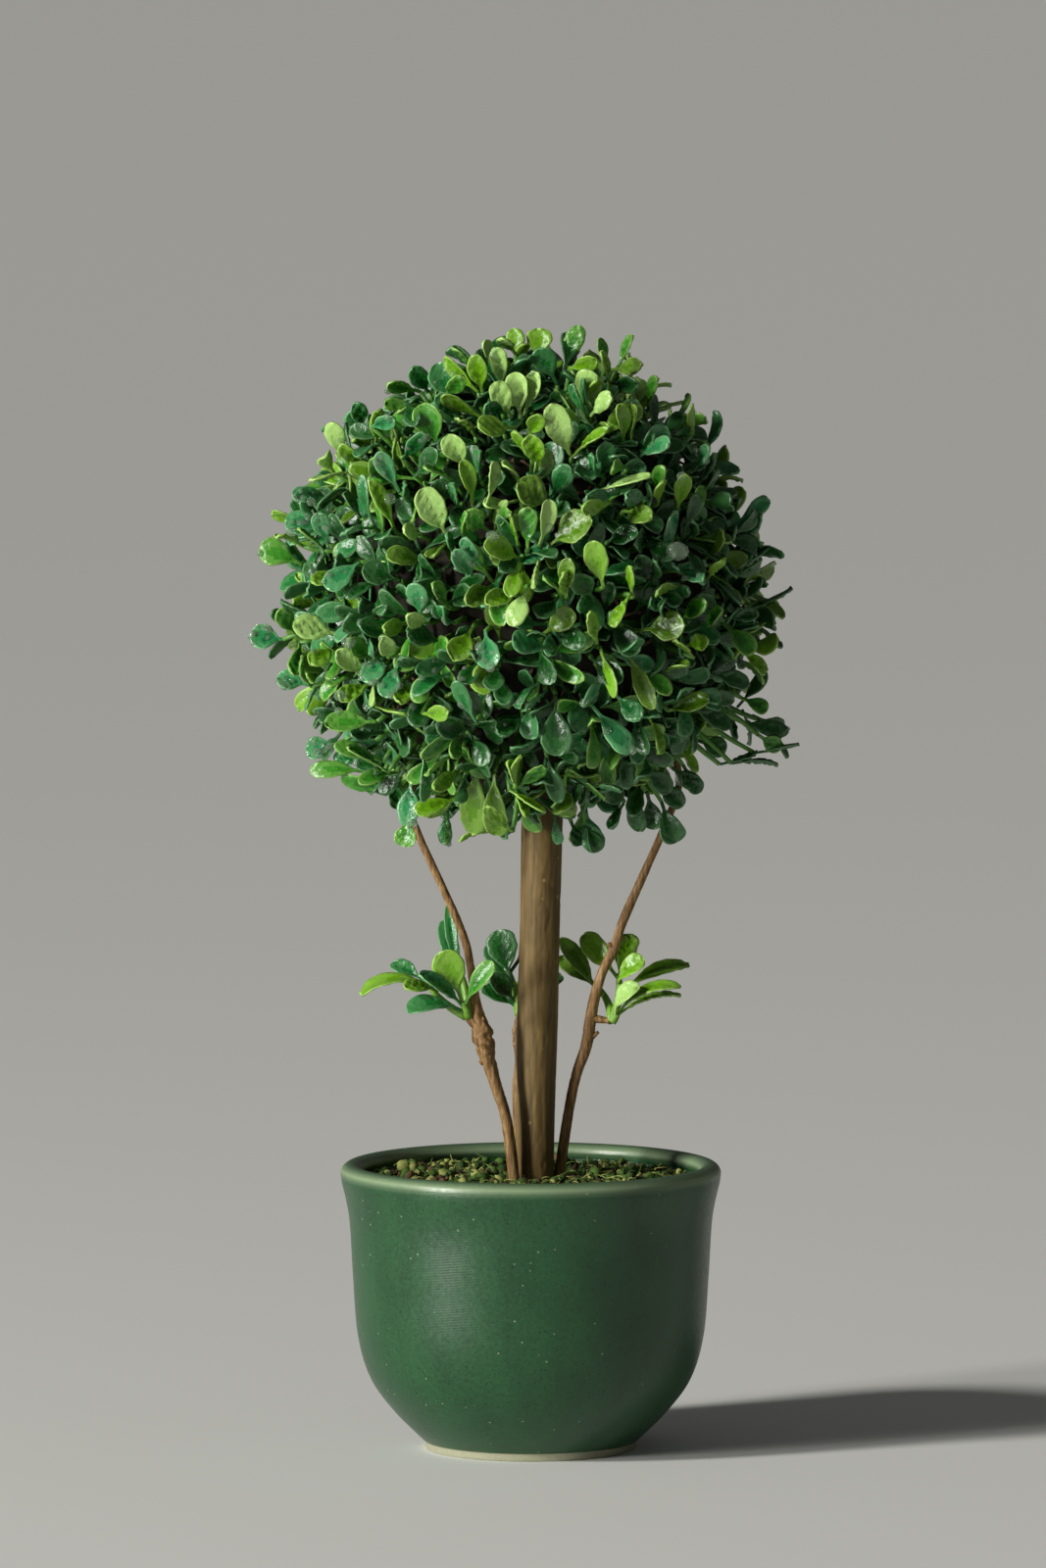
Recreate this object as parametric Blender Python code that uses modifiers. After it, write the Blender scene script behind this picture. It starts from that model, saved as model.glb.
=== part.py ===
"""A small artificial box topiary: a clipped ball of plastic leaves on a stick trunk, with three thin
stems that carry sprigs, planted in a glazed cup pot with a dyed moss fill. Metres, +Z up. The pot
stands on z = 0 with its axis on Z, and the front of the plant faces -Y.
"""

import math
import random

import bmesh
import bpy
import numpy as np
from mathutils import Matrix, Vector

GAP = 0.0003  # between pieces that touch
MERGE = 0.00001

# Pot. Its side runs from the glaze line above the bare foot to the widest place under the lip.
POT_HEIGHT = 0.0543
POT_WALL = 0.0035
POT_FLOOR = 0.0050
FOOT_RADIUS = 0.0203
FOOT_HEIGHT = 0.0016
FOOT_RING = 0.0031
FOOT_RECESS = 0.0009
FOOT_GROOVE = 0.0003  # between the glaze line and the bare foot
FOOT_EDGE = 0.0003
FLOOR_CORNER = 0.0040
LIP_RADIUS = 0.0360
LIP_WIDTH = 0.0041
LIP_RISE = 0.0019
POT_SIDE = (  # radius, height
    (0.0203, 0.0016),
    (0.0261, 0.0074),
    (0.0305, 0.0137),
    (0.0328, 0.0218),
    (0.0337, 0.0330),
    (0.0344, 0.0440),
    (0.0358, 0.0508),
)
SIDE_STEPS = 2
LIP_STEPS = 6
POT_TURNS = 40

# Fill
GROUND = 0.0510  # the height that the plant rises from
FILL_TURNS = 30
FILL_RINGS = 5
FILL_LUMP = 0.0009
FILL_EDGE_DROP = 0.0008
FILL_EDGE_SHARE = 0.15  # of the fill's radius, where it falls away to the pot
FILL_SHELF = 0.0020  # how far below the ground the fill's side ends
LIMB_FLAT = (0.0016, 0.0056)  # from a limb's skin: all flat within the first, all lumpy past the second

# Ball core
BALL_CENTRE = Vector((-0.0008, 0.0, 0.1626))
CORE_RADIUS = 0.0395
CORE_FINENESS = 3
STEM_TIP = 0.00045  # how far a stem's tip reaches past its own middle, towards the core


def under_core(x, y):
    """The height at which a stem's tip stops just clear of the ball's core."""
    stop = CORE_RADIUS + GAP + STEM_TIP
    return BALL_CENTRE.z - math.sqrt(stop**2 - (x - BALL_CENTRE.x) ** 2 - (y - BALL_CENTRE.y) ** 2)


# Limbs: x, y, z and radius along each, from the flat cut at the ground to the tip
TRUNK = (
    (0.0006, 0.0000, GROUND + GAP, 0.00375),
    (0.0009, 0.0001, 0.0660, 0.00370),
    (0.0013, 0.0000, 0.0830, 0.00385),
    (0.0017, -0.0001, 0.1000, 0.00380),
    (0.0021, 0.0000, 0.1170, 0.00390),
    (0.0025, 0.0001, 0.1340, 0.00385),
    (0.0028, 0.0000, 0.1500, 0.00380),
)
LEFT_STEM = (
    (-0.0031, -0.0050, GROUND + GAP, 0.00110),
    (-0.0046, -0.0053, 0.0630, 0.00105),
    (-0.0064, -0.0056, 0.0690, 0.00110),
    (-0.0080, -0.0058, 0.0745, 0.00140),
    (-0.0091, -0.0058, 0.0790, 0.00195),
    (-0.0100, -0.0057, 0.0830, 0.00125),
    (-0.0108, -0.0056, 0.0882, 0.00080),
    (-0.0123, -0.0055, 0.0967, 0.00078),
    (-0.0155, -0.0054, 0.1046, 0.00075),
    (-0.0207, -0.0054, 0.1160, 0.00072),
    (-0.0229, -0.0054, 0.1226, 0.00070),
    (-0.0213, -0.0053, under_core(-0.0213, -0.0053), 0.00062),
)
RIGHT_STEM = (
    (0.0053, 0.0014, GROUND + GAP, 0.00105),
    (0.0070, 0.0016, 0.0629, 0.00098),
    (0.0085, 0.0018, 0.0704, 0.00098),
    (0.0105, 0.0018, 0.0763, 0.00110),
    (0.0113, 0.0018, 0.0812, 0.00112),
    (0.0121, 0.0017, 0.0856, 0.00100),
    (0.0135, 0.0016, 0.0903, 0.00092),
    (0.0157, 0.0016, 0.0948, 0.00092),
    (0.0176, 0.0016, 0.1005, 0.00088),
    (0.0218, 0.0015, 0.1100, 0.00078),
    (0.0255, 0.0014, 0.1185, 0.00072),
    (0.0280, 0.0014, 0.1262, 0.00068),
    (0.0267, 0.0012, under_core(0.0267, 0.0012), 0.00060),
)
REAR_STEM = (
    (-0.0014, 0.0062, GROUND + GAP, 0.00115),
    (-0.0023, 0.0064, 0.0620, 0.00110),
    (-0.0024, 0.0065, 0.0680, 0.00108),
    (-0.0019, 0.0067, 0.0730, 0.00115),
    (-0.0018, 0.0070, 0.0786, 0.00160),
    (-0.0013, 0.0074, 0.0835, 0.00110),
    (-0.0006, 0.0082, 0.0930, 0.00085),
    (0.0003, 0.0094, 0.1060, 0.00078),
    (0.0012, 0.0108, 0.1170, 0.00070),
    (0.0012, 0.0114, under_core(0.0012, 0.0114), 0.00062),
)
LIMBS = (TRUNK, LEFT_STEM, RIGHT_STEM, REAR_STEM)
TRUNK_BEVEL = 4
STEM_BEVEL = 2
STEPS_PER_STRETCH = 2

# Broken-off side twigs on the stems, which carry the sprigs: root, tip, radius at each end
LEFT_SPUR = ((-0.0092, -0.0058, 0.0800), (-0.0117, -0.0062, 0.0824), 0.00120, 0.00080)
RIGHT_SPUR = ((0.0114, 0.0018, 0.0816), (0.0150, 0.0012, 0.0811), 0.00090, 0.00055)
REAR_SPUR = ((-0.0018, 0.0071, 0.0790), (-0.0021, 0.0100, 0.0812), 0.00110, 0.00070)
SPUR_SEGMENTS = 6

# Leaves
LEAF_BELLY = 0.64  # how far along a leaf is widest
LEAF_THICK = 0.0009
LEAF_SINK = 0.0001
TWIG_SEGMENTS = 3
BALL_TWIG = (0.00095, 0.00080)  # radius at the root and the end
SPRIG_TWIG = (0.00065, 0.00060)
KNOT_LENGTH = 0.0014
KNOT_DEPTH = 0.0010  # how far into its knot a sprig's twigs start

# Sprigs on the stems. Twigs end at these offsets from the spur's tip, and each leaf gives its twig,
# the offset of its own tip and its width.
LEFT_TWIGS = ((-0.0010, -0.0014, 0.0030), (-0.0082, 0.0012, 0.0070), (-0.0028, 0.0026, 0.0108))
LEFT_LEAVES = (
    (0, (-0.0114, -0.0034, 0.0016), 0.0042),
    (0, (-0.0092, -0.0062, 0.0088), 0.0044),
    (0, (-0.0046, -0.0038, 0.0130), 0.0060),
    (0, (0.0052, -0.0048, 0.0112), 0.0046),
    (1, (-0.0200, 0.0002, 0.0042), 0.0042),
    (1, (-0.0142, 0.0062, 0.0096), 0.0034),
    (1, (-0.0120, -0.0040, 0.0060), 0.0032),
    (2, (-0.0042, 0.0030, 0.0214), 0.0036),
    (2, (-0.0046, 0.0072, 0.0176), 0.0040),
)
RIGHT_TWIGS = ((0.0012, -0.0004, 0.0016), (0.0014, 0.0020, 0.0088), (-0.0028, 0.0056, 0.0062))
RIGHT_LEAVES = (
    (0, (0.0131, 0.0006, 0.0048), 0.0040),
    (0, (0.0130, -0.0034, 0.0068), 0.0042),
    (0, (0.0052, -0.0046, 0.0072), 0.0040),
    (1, (0.0062, -0.0016, 0.0116), 0.0040),
    (1, (-0.0052, 0.0058, 0.0160), 0.0044),
    (1, (0.0036, 0.0068, 0.0158), 0.0050),
    (1, (0.0146, 0.0082, 0.0098), 0.0044),
    (2, (-0.0098, 0.0078, 0.0150), 0.0044),
    (2, (-0.0096, 0.0112, 0.0110), 0.0040),
)
REAR_TWIGS = ((-0.0006, 0.0014, 0.0020), (-0.0022, 0.0026, 0.0084))
REAR_LEAVES = (
    (0, (-0.0066, 0.0036, 0.0050), 0.0042),
    (0, (-0.0054, -0.0008, 0.0078), 0.0040),
    (0, (0.0080, 0.0042, 0.0070), 0.0044),
    (0, (0.0030, 0.0104, 0.0060), 0.0044),
    (1, (-0.0042, 0.0036, 0.0178), 0.0058),
    (1, (-0.0060, 0.0058, 0.0128), 0.0040),
    (1, (0.0040, 0.0064, 0.0150), 0.0046),
)
SPRIG_FACE = Vector((0.0, -0.5, 1.0))  # the way the sprigs' blades face

# Leaf ball
BALL_REACH = (0.0480, 0.0524)
BALL_BOTTOM = 0.1130
BALL_SPRIGS = 106
BALL_JITTER = 0.09
BALL_SEED = 20
BALL_LEAVES = 5
BALL_LEAF_LENGTH = (0.0116, 0.0136)
BALL_LEAF_WIDTH = (0.0066, 0.0078)
BALL_LEAF_LEAN = (40.0, 76.0)  # degrees between a leaf and its twig
MIDDLE_LEAN = 0.2  # of that for the leaf at the twig's end
GOLDEN_ANGLE = math.pi * (3.0 - math.sqrt(5.0))
LEAF_TURN = 2 * math.tau / BALL_LEAVES  # from each leaf round the twig to the next
TURN_JITTER = 0.35
BALL_TRIES = 5  # places that a leaf may take before it is skipped
LENGTH_IN_REACH = 0.95  # of a leaf's length stands beyond its twig
REACH_SPARE = 0.0012
LEAF_ROOM = 0.0034
TWIG_SINK = 0.0016
TWIG_BARE = 0.0008
TWIG_CLEARANCE = 0.0015
LIMB_CLEARANCE = 0.0005
# Sprigs that break the ball's outline: bearing and rise in degrees, how far their tips reach
STRAYS = (
    (180.0, -9.0, 0.0542),
    (180.0, -37.0, 0.0540),
    (2.0, 81.0, 0.0508),
    (-4.0, -5.0, 0.0532),
    (4.0, -29.0, 0.0602),
)

GLAZE_GREEN = (0.062, 0.180, 0.080, 1.0)
MOSS_GREEN = (0.120, 0.160, 0.045, 1.0)
BARK_TAN = (0.290, 0.190, 0.110, 1.0)
BARK_ORANGE = (0.330, 0.150, 0.060, 1.0)
LEAF_GREEN = (0.045, 0.200, 0.050, 1.0)
LEAF_LIME = (0.200, 0.420, 0.060, 1.0)


def clear_scene():
    for found in list(bpy.data.objects):
        bpy.data.objects.remove(found)


def make_material(name, colour, roughness):
    material = bpy.data.materials.new(name)
    material.use_nodes = True
    shader = material.node_tree.nodes["Principled BSDF"]
    shader.inputs["Base Color"].default_value = colour
    shader.inputs["Roughness"].default_value = roughness
    shader.inputs["Metallic"].default_value = 0.0
    return material


def new_collection(name):
    made = bpy.data.collections.new(name)
    bpy.context.scene.collection.children.link(made)
    return made


def add_object(name, data, collection):
    made = bpy.data.objects.new(name, data)
    collection.objects.link(made)
    return made


def evaluated_mesh(source):
    """The object's mesh with its modifiers or bevel applied."""
    graph = bpy.context.evaluated_depsgraph_get()
    graph.update()
    return bpy.data.meshes.new_from_object(source.evaluated_get(graph), depsgraph=graph)


def weld(mesh):
    """Joins a bevelled curve's loose caps to its sides."""
    welder = bmesh.new()
    welder.from_mesh(mesh)
    bmesh.ops.remove_doubles(welder, verts=welder.verts, dist=MERGE)
    welder.to_mesh(mesh)
    welder.free()


def apply_modifiers(target):
    mesh = evaluated_mesh(target)
    target.modifiers.clear()
    target.data = mesh


def join(target, collection, operation="UNION", solver="EXACT"):
    """One Boolean with every object of a collection, applied. The collection's objects are removed."""
    boolean = target.modifiers.new("join", "BOOLEAN")
    boolean.operation = operation
    boolean.operand_type = "COLLECTION"
    boolean.collection = collection
    boolean.solver = solver
    apply_modifiers(target)
    for used in list(collection.objects):
        bpy.data.objects.remove(used)
    bpy.data.collections.remove(collection)


def keep_largest_body(target):
    """Drops loose scraps and the walls of sealed hollows, which leaves the hollows filled."""
    shaper = bmesh.new()
    shaper.from_mesh(target.data)
    unseen = set(shaper.verts)
    bodies = []
    while unseen:
        body = {unseen.pop()}
        edge_of_body = list(body)
        while edge_of_body:
            vertex = edge_of_body.pop()
            for link in vertex.link_edges:
                neighbour = link.other_vert(vertex)
                if neighbour in unseen:
                    unseen.remove(neighbour)
                    body.add(neighbour)
                    edge_of_body.append(neighbour)
        bodies.append(body)
    bodies.sort(key=len)
    scraps = [vertex for body in bodies[:-1] for vertex in body]
    bmesh.ops.delete(shaper, geom=scraps, context="VERTS")
    shaper.to_mesh(target.data)
    shaper.free()


def smooth_course(points, steps):
    """A Catmull-Rom curve through points of any dimension, as tuples, with steps to each stretch."""
    course = []
    for i in range(len(points) - 1):
        before = points[max(i - 1, 0)]
        start = points[i]
        end = points[i + 1]
        after = points[min(i + 2, len(points) - 1)]
        for step in range(steps):
            t = step / steps
            values = []
            for a, b, c, d in zip(before, start, end, after):
                bend = 2 * a - 5 * b + 4 * c - d
                twist = 3 * b - a - 3 * c + d
                values.append(0.5 * (2 * b + (c - a) * t + bend * t**2 + twist * t**3))
            course.append(tuple(values))
    course.append(tuple(points[-1]))
    return course


def turned(name, profile, steps, collection):
    """A solid turned about Z from (radius, height) points that run out, round and down."""
    mesh = bpy.data.meshes.new(name)
    places = [(radius, 0.0, height) for radius, height in profile]
    mesh.from_pydata(places, [(i, i + 1) for i in range(len(places) - 1)], [])
    made = add_object(name, mesh, collection)
    screw = made.modifiers.new("turn", "SCREW")
    screw.axis = "Z"
    screw.steps = steps
    screw.render_steps = steps
    screw.use_merge_vertices = True
    screw.merge_threshold = MERGE
    return made


def side_at(inset):
    """The pot's side, bottom to top, moved in by an inset square to itself."""
    side = smooth_course(POT_SIDE, SIDE_STEPS)
    moved = []
    for i, (radius, height) in enumerate(side):
        below = side[max(i - 1, 0)]
        above = side[min(i + 1, len(side) - 1)]
        run = above[0] - below[0]
        rise = above[1] - below[1]
        length = math.hypot(run, rise)
        moved.append((radius - inset * rise / length, height + inset * run / length))
    return moved


def inner_side(inset, top):
    """The part of the inset side between the pot's floor and a height, bottom to top."""
    floor = POT_FLOOR + inset - POT_WALL
    found = [(radius, height) for radius, height in side_at(inset) if floor < height < top]
    return floor, found


def make_pot(parts, material):
    """A cup form: inner floor and wall, rounded lip, outer side, and a bare foot ring with a recess."""
    lip_middle = LIP_RADIUS - LIP_WIDTH / 2
    lip_base = POT_HEIGHT - LIP_RISE
    lip = []
    for step in range(LIP_STEPS + 1):
        angle = math.pi * (1 - step / LIP_STEPS)
        lip.append((lip_middle + LIP_WIDTH / 2 * math.cos(angle), lip_base + LIP_RISE * math.sin(angle)))
    floor, inside = inner_side(POT_WALL, lip_base)
    outside = side_at(0.0)
    outside.reverse()
    bare = FOOT_RADIUS - FOOT_GROOVE
    foot = [
        (bare, FOOT_HEIGHT - FOOT_GROOVE),
        (bare, FOOT_EDGE),
        (bare - FOOT_EDGE, 0.0),
        (bare - FOOT_RING, 0.0),
        (bare - FOOT_RING - FOOT_RECESS, FOOT_RECESS),
        (0.0, FOOT_RECESS),
    ]
    profile = [(0.0, floor), (inside[0][0] - FLOOR_CORNER, floor), *inside, *lip, *outside, *foot]
    pot = turned("pot", profile, POT_TURNS, parts)
    pot.data.materials.append(material)
    apply_modifiers(pot)
    pot.data.shade_smooth()


def ramp(value, low, high):
    """0 below low, 1 above high and a straight slope between."""
    return min(max((value - low) / (high - low), 0.0), 1.0)


def fill_height(x, y, rim):
    """The fill's lumpy top, flat under the foot of each limb and lower at the pot's wall."""
    lumps = math.sin(540 * x + 1.3) * math.cos(470 * y) + 0.6 * math.sin(910 * y - 600 * x)
    spare = min(math.hypot(x - limb[0][0], y - limb[0][1]) - limb[0][3] for limb in LIMBS)
    edge = ramp(math.hypot(x, y), rim * (1 - FILL_EDGE_SHARE), rim)
    return GROUND + ramp(spare, *LIMB_FLAT) * FILL_LUMP * lumps - FILL_EDGE_DROP * edge


def make_fill(parts, material):
    """What fills the pot, from its floor to a lumpy top."""
    floor, side = inner_side(POT_WALL + GAP, GROUND - FILL_SHELF)
    side.reverse()
    rim = side[0][0]
    top = [(rim * ring / FILL_RINGS, GROUND) for ring in range(FILL_RINGS + 1)]
    profile = [*top, *side, (side[-1][0] - FLOOR_CORNER, floor), (0.0, floor)]
    fill = turned("moss_fill", profile, FILL_TURNS, parts)
    fill.data.materials.append(material)
    apply_modifiers(fill)
    for vertex in fill.data.vertices:
        if vertex.co.z > GROUND - MERGE:
            vertex.co.z = fill_height(vertex.co.x, vertex.co.y, rim)


def tube(name, course, bevel, collection):
    """A round limb along x, y, z, radius points, with flat ends."""
    data = bpy.data.curves.new(name, "CURVE")
    data.dimensions = "3D"
    data.bevel_depth = 1.0
    data.bevel_resolution = bevel
    data.use_fill_caps = True
    spline = data.splines.new("POLY")
    spline.points.add(len(course) - 1)
    for point, (x, y, z, radius) in zip(spline.points, course):
        point.co = (x, y, z, 1.0)
        point.radius = radius
    curve = add_object(name + "_course", data, collection)
    mesh = evaluated_mesh(curve)
    weld(mesh)
    bpy.data.objects.remove(curve)
    return add_object(name, mesh, collection)


def facing(origin, along, face):
    """The matrix that puts +X along a direction and +Z as near as it can to another."""
    x = along.normalized()
    y = face.cross(x).normalized()
    z = x.cross(y)
    return Matrix.Translation(origin) @ Matrix((x, y, z)).transposed().to_4x4()


def add_leaf(root, tip, face, width, collection):
    """A spoon-shaped leaf of eight faces from root to tip."""
    length = (tip - root).length
    shaper = bmesh.new()
    bmesh.ops.create_uvsphere(shaper, u_segments=4, v_segments=2, radius=1.0)
    for vertex in shaper.verts:
        x, y, z = vertex.co
        along = (1 + x) / 2 + (LEAF_BELLY - 0.5) * (1 - abs(x))
        vertex.co = (along * length, y * width / 2, z * LEAF_THICK / 2)
    mesh = bpy.data.meshes.new("leaf")
    shaper.to_mesh(mesh)
    shaper.free()
    mesh.transform(facing(root, tip - root, face))
    add_object("leaf", mesh, collection)


def add_stalk(root, tip, start_radius, end_radius, segments, collection):
    """A tapering twig with flat ends."""
    shaper = bmesh.new()
    bmesh.ops.create_cone(
        shaper,
        cap_ends=True,
        segments=segments,
        radius1=start_radius,
        radius2=end_radius,
        depth=(tip - root).length,
    )
    mesh = bpy.data.meshes.new("stalk")
    shaper.to_mesh(mesh)
    shaper.free()
    turn = (tip - root).to_track_quat("Z", "Y").to_matrix().to_4x4()
    mesh.transform(Matrix.Translation((root + tip) / 2) @ turn)
    return add_object("stalk", mesh, collection)


def make_limb(name, points, bevel, spur, parts, material):
    """A bough or trunk, with the stub of a broken side twig where it has one."""
    limb = tube(name, smooth_course(points, STEPS_PER_STRETCH), bevel, parts)
    limb.data.materials.append(material)
    if spur:
        root, tip, start_radius, end_radius = spur
        pieces = new_collection(name + "_spur")
        add_stalk(Vector(root), Vector(tip), start_radius, end_radius, SPUR_SEGMENTS, pieces)
        join(limb, pieces)
    limb.data.shade_smooth()


def limb_courses():
    return [smooth_course(points, STEPS_PER_STRETCH) for points in LIMBS]


def room_to_limbs(place, courses):
    """How far a point is from the skin of the nearest limb."""
    room = 1.0
    for course in courses:
        for start, end in zip(course[:-1], course[1:]):
            a = Vector(start[:3])
            b = Vector(end[:3])
            t = min(max((place - a).dot(b - a) / (b - a).length_squared, 0.0), 1.0)
            room = min(room, (place - a.lerp(b, t)).length - max(start[3], end[3]))
    return room


def leaf_is_clear(root, tip, width, face, courses):
    """Whether a leaf keeps its distance from every limb, sampled down its middle and near its edges."""
    across = face.cross(tip - root).normalized() * width / 2
    samples = [root.lerp(tip, step / 8) for step in range(9)]
    for share, breadth in ((LEAF_BELLY / 2, 0.5), (LEAF_BELLY, 1.0), ((1 + LEAF_BELLY) / 2, 0.5)):
        middle = root.lerp(tip, share)
        samples += [middle + across * breadth, middle - across * breadth]
    return min(room_to_limbs(sample, courses) for sample in samples) > LIMB_CLEARANCE


def make_sprig(name, spur, twigs, leaves, parts, material):
    """A small spray of leaves that grows on from a spur."""
    courses = limb_courses()
    outward = (Vector(spur[1]) - Vector(spur[0])).normalized()
    base = Vector(spur[1]) + outward * GAP
    pieces = new_collection(name + "_twigs")
    knot = add_stalk(base, base + outward * KNOT_LENGTH, spur[3], spur[3], SPUR_SEGMENTS, parts)
    knot.name = name
    start = base + outward * KNOT_DEPTH
    seats = []
    for offset in twigs:
        end = base + Vector(offset)
        add_stalk(start, end, *SPRIG_TWIG, TWIG_SEGMENTS, pieces)
        seats.append(end + (start - end).normalized() * SPRIG_TWIG[1])
    for twig, offset, width in leaves:
        tip = base + Vector(offset)
        root = seats[twig] - (tip - seats[twig]).normalized() * LEAF_SINK
        if leaf_is_clear(root, tip, width, SPRIG_FACE, courses):
            add_leaf(root, tip, SPRIG_FACE, width, pieces)
    join(knot, pieces, solver="MANIFOLD")
    keep_largest_body(knot)
    knot.data.materials.clear()
    knot.data.materials.append(material)


def ball_sprigs(rng):
    """Each sprig's direction from the ball's centre and its reach, spread evenly by the golden angle."""
    sprigs = []
    for bearing, rise, reach in STRAYS:
        level = math.cos(math.radians(rise))
        heading = math.radians(bearing)
        outward = Vector((level * math.cos(heading), level * math.sin(heading), math.sin(math.radians(rise))))
        sprigs.append((outward, reach))
    for i in range(BALL_SPRIGS):
        rise = 1 - (2 * i + 1) / BALL_SPRIGS
        turn = i * GOLDEN_ANGLE
        level = math.sqrt(1 - rise * rise)
        outward = Vector((level * math.cos(turn), level * math.sin(turn), rise))
        outward += Vector([rng.uniform(-BALL_JITTER, BALL_JITTER) for _ in range(3)])
        sprigs.append((outward.normalized(), rng.uniform(*BALL_REACH)))
    return sprigs


def spray(outward, reach, rng):
    """One sprig of the ball: its twig's end, and for each leaf a few (root, tip, width) to choose from."""
    length = rng.uniform(*BALL_LEAF_LENGTH)
    end = reach - length * LENGTH_IN_REACH
    lowest = CORE_RADIUS + TWIG_BARE
    highest = end - BALL_TWIG[1]
    side = outward.orthogonal().normalized()
    phase = rng.uniform(0.0, math.tau)
    leaves = []
    for k in range(BALL_LEAVES):
        seat = BALL_CENTRE + outward * (highest - (highest - lowest) * k / (BALL_LEAVES - 1))
        width = rng.uniform(*BALL_LEAF_WIDTH)
        choices = []
        for _ in range(BALL_TRIES):
            turn = phase + k * LEAF_TURN + rng.uniform(-TURN_JITTER, TURN_JITTER)
            lean = math.radians(rng.uniform(*BALL_LEAF_LEAN)) * (1.0 if k else MIDDLE_LEAN)
            sideways = Matrix.Rotation(turn, 3, outward) @ side
            along = outward * math.cos(lean) + sideways * math.sin(lean)
            choices.append((seat - along * LEAF_SINK, seat + along * length, width))
        leaves.append(choices)
    return BALL_CENTRE + outward * end, leaves


def outer_half(root, tip):
    return [root.lerp(tip, share) for share in (0.5, 0.75, 1.0)]


def is_roomy(root, tip, placed):
    """Whether a leaf's outer half keeps its distance from the leaves already there."""
    if not placed:
        return True
    spaces = np.array(placed)[:, None] - np.array(outer_half(root, tip))[None]
    return np.linalg.norm(spaces, axis=2).min() > LEAF_ROOM


def make_core(parts):
    """The ball's round core, with a blind socket that the trunk's tip stands in."""
    shaper = bmesh.new()
    bmesh.ops.create_icosphere(shaper, subdivisions=CORE_FINENESS, radius=CORE_RADIUS)
    mesh = bpy.data.meshes.new("leaf_ball")
    shaper.to_mesh(mesh)
    shaper.free()
    mesh.transform(Matrix.Translation(BALL_CENTRE))
    ball = add_object("leaf_ball", mesh, parts)
    cutters = new_collection("ball_cutters")
    course = [(x, y, z, radius + GAP) for x, y, z, radius in TRUNK if z > BALL_BOTTOM]
    x, y, z, radius = course[-1]
    course.append((x, y, z + GAP, radius))
    socket = tube("socket", course, TRUNK_BEVEL, cutters)
    socket.hide_render = True
    socket.display_type = "WIRE"
    join(ball, cutters, operation="DIFFERENCE", solver="MANIFOLD")
    return ball


def make_ball(parts, material):
    """The clipped ball: sprigs of leaves that stand out of the core, fused on all over it."""
    courses = limb_courses()
    rng = random.Random(BALL_SEED)
    ball = make_core(parts)
    pieces = new_collection("ball_sprigs")
    placed = []
    for outward, reach in ball_sprigs(rng):
        node, leaves = spray(outward, reach, rng)
        root = BALL_CENTRE + outward * (CORE_RADIUS - TWIG_SINK)
        if min(room_to_limbs(root, courses), room_to_limbs(node, courses)) < TWIG_CLEARANCE:
            continue
        add_stalk(root, node, *BALL_TWIG, TWIG_SEGMENTS, pieces)
        for choices in leaves:
            for start, tip, width in choices:
                inside = tip.z > BALL_BOTTOM and (tip - BALL_CENTRE).length < reach + REACH_SPARE
                fits = inside and is_roomy(start, tip, placed)
                if fits and leaf_is_clear(start, tip, width, outward, courses):
                    add_leaf(start, tip, outward, width, pieces)
                    placed += outer_half(start, tip)
                    break
    join(ball, pieces, solver="MANIFOLD")
    keep_largest_body(ball)
    ball.data.materials.clear()
    ball.data.materials.append(material)


def main():
    clear_scene()
    parts = new_collection("box_topiary_ball")
    bark = make_material("trunk_wood", BARK_TAN, 0.7)
    stem_bark = make_material("stem_bark", BARK_ORANGE, 0.7)
    sprig_green = make_material("sprig_leaves", LEAF_LIME, 0.4)

    make_pot(parts, make_material("green_glaze", GLAZE_GREEN, 0.25))
    make_fill(parts, make_material("dyed_moss", MOSS_GREEN, 0.9))
    make_limb("trunk", TRUNK, TRUNK_BEVEL, None, parts, bark)
    make_limb("left_stem", LEFT_STEM, STEM_BEVEL, LEFT_SPUR, parts, stem_bark)
    make_limb("right_stem", RIGHT_STEM, STEM_BEVEL, RIGHT_SPUR, parts, stem_bark)
    make_limb("rear_stem", REAR_STEM, STEM_BEVEL, REAR_SPUR, parts, stem_bark)
    make_sprig("left_sprig", LEFT_SPUR, LEFT_TWIGS, LEFT_LEAVES, parts, sprig_green)
    make_sprig("right_sprig", RIGHT_SPUR, RIGHT_TWIGS, RIGHT_LEAVES, parts, sprig_green)
    make_sprig("rear_sprig", REAR_SPUR, REAR_TWIGS, REAR_LEAVES, parts, sprig_green)
    make_ball(parts, make_material("ball_leaves", LEAF_GREEN, 0.4))


main()
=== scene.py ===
"""The looks of a small artificial box topiary: moulded plastic leaves on a ball, bark on its trunk and
stems, a glazed cup pot and its dyed moss, built round the packed CAD part. Metres, +Z up.
"""

import math
import random

import bmesh
import bpy
import numpy as np
from bpy.props import FloatProperty, FloatVectorProperty, IntProperty, PointerProperty
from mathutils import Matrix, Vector, noise


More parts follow.
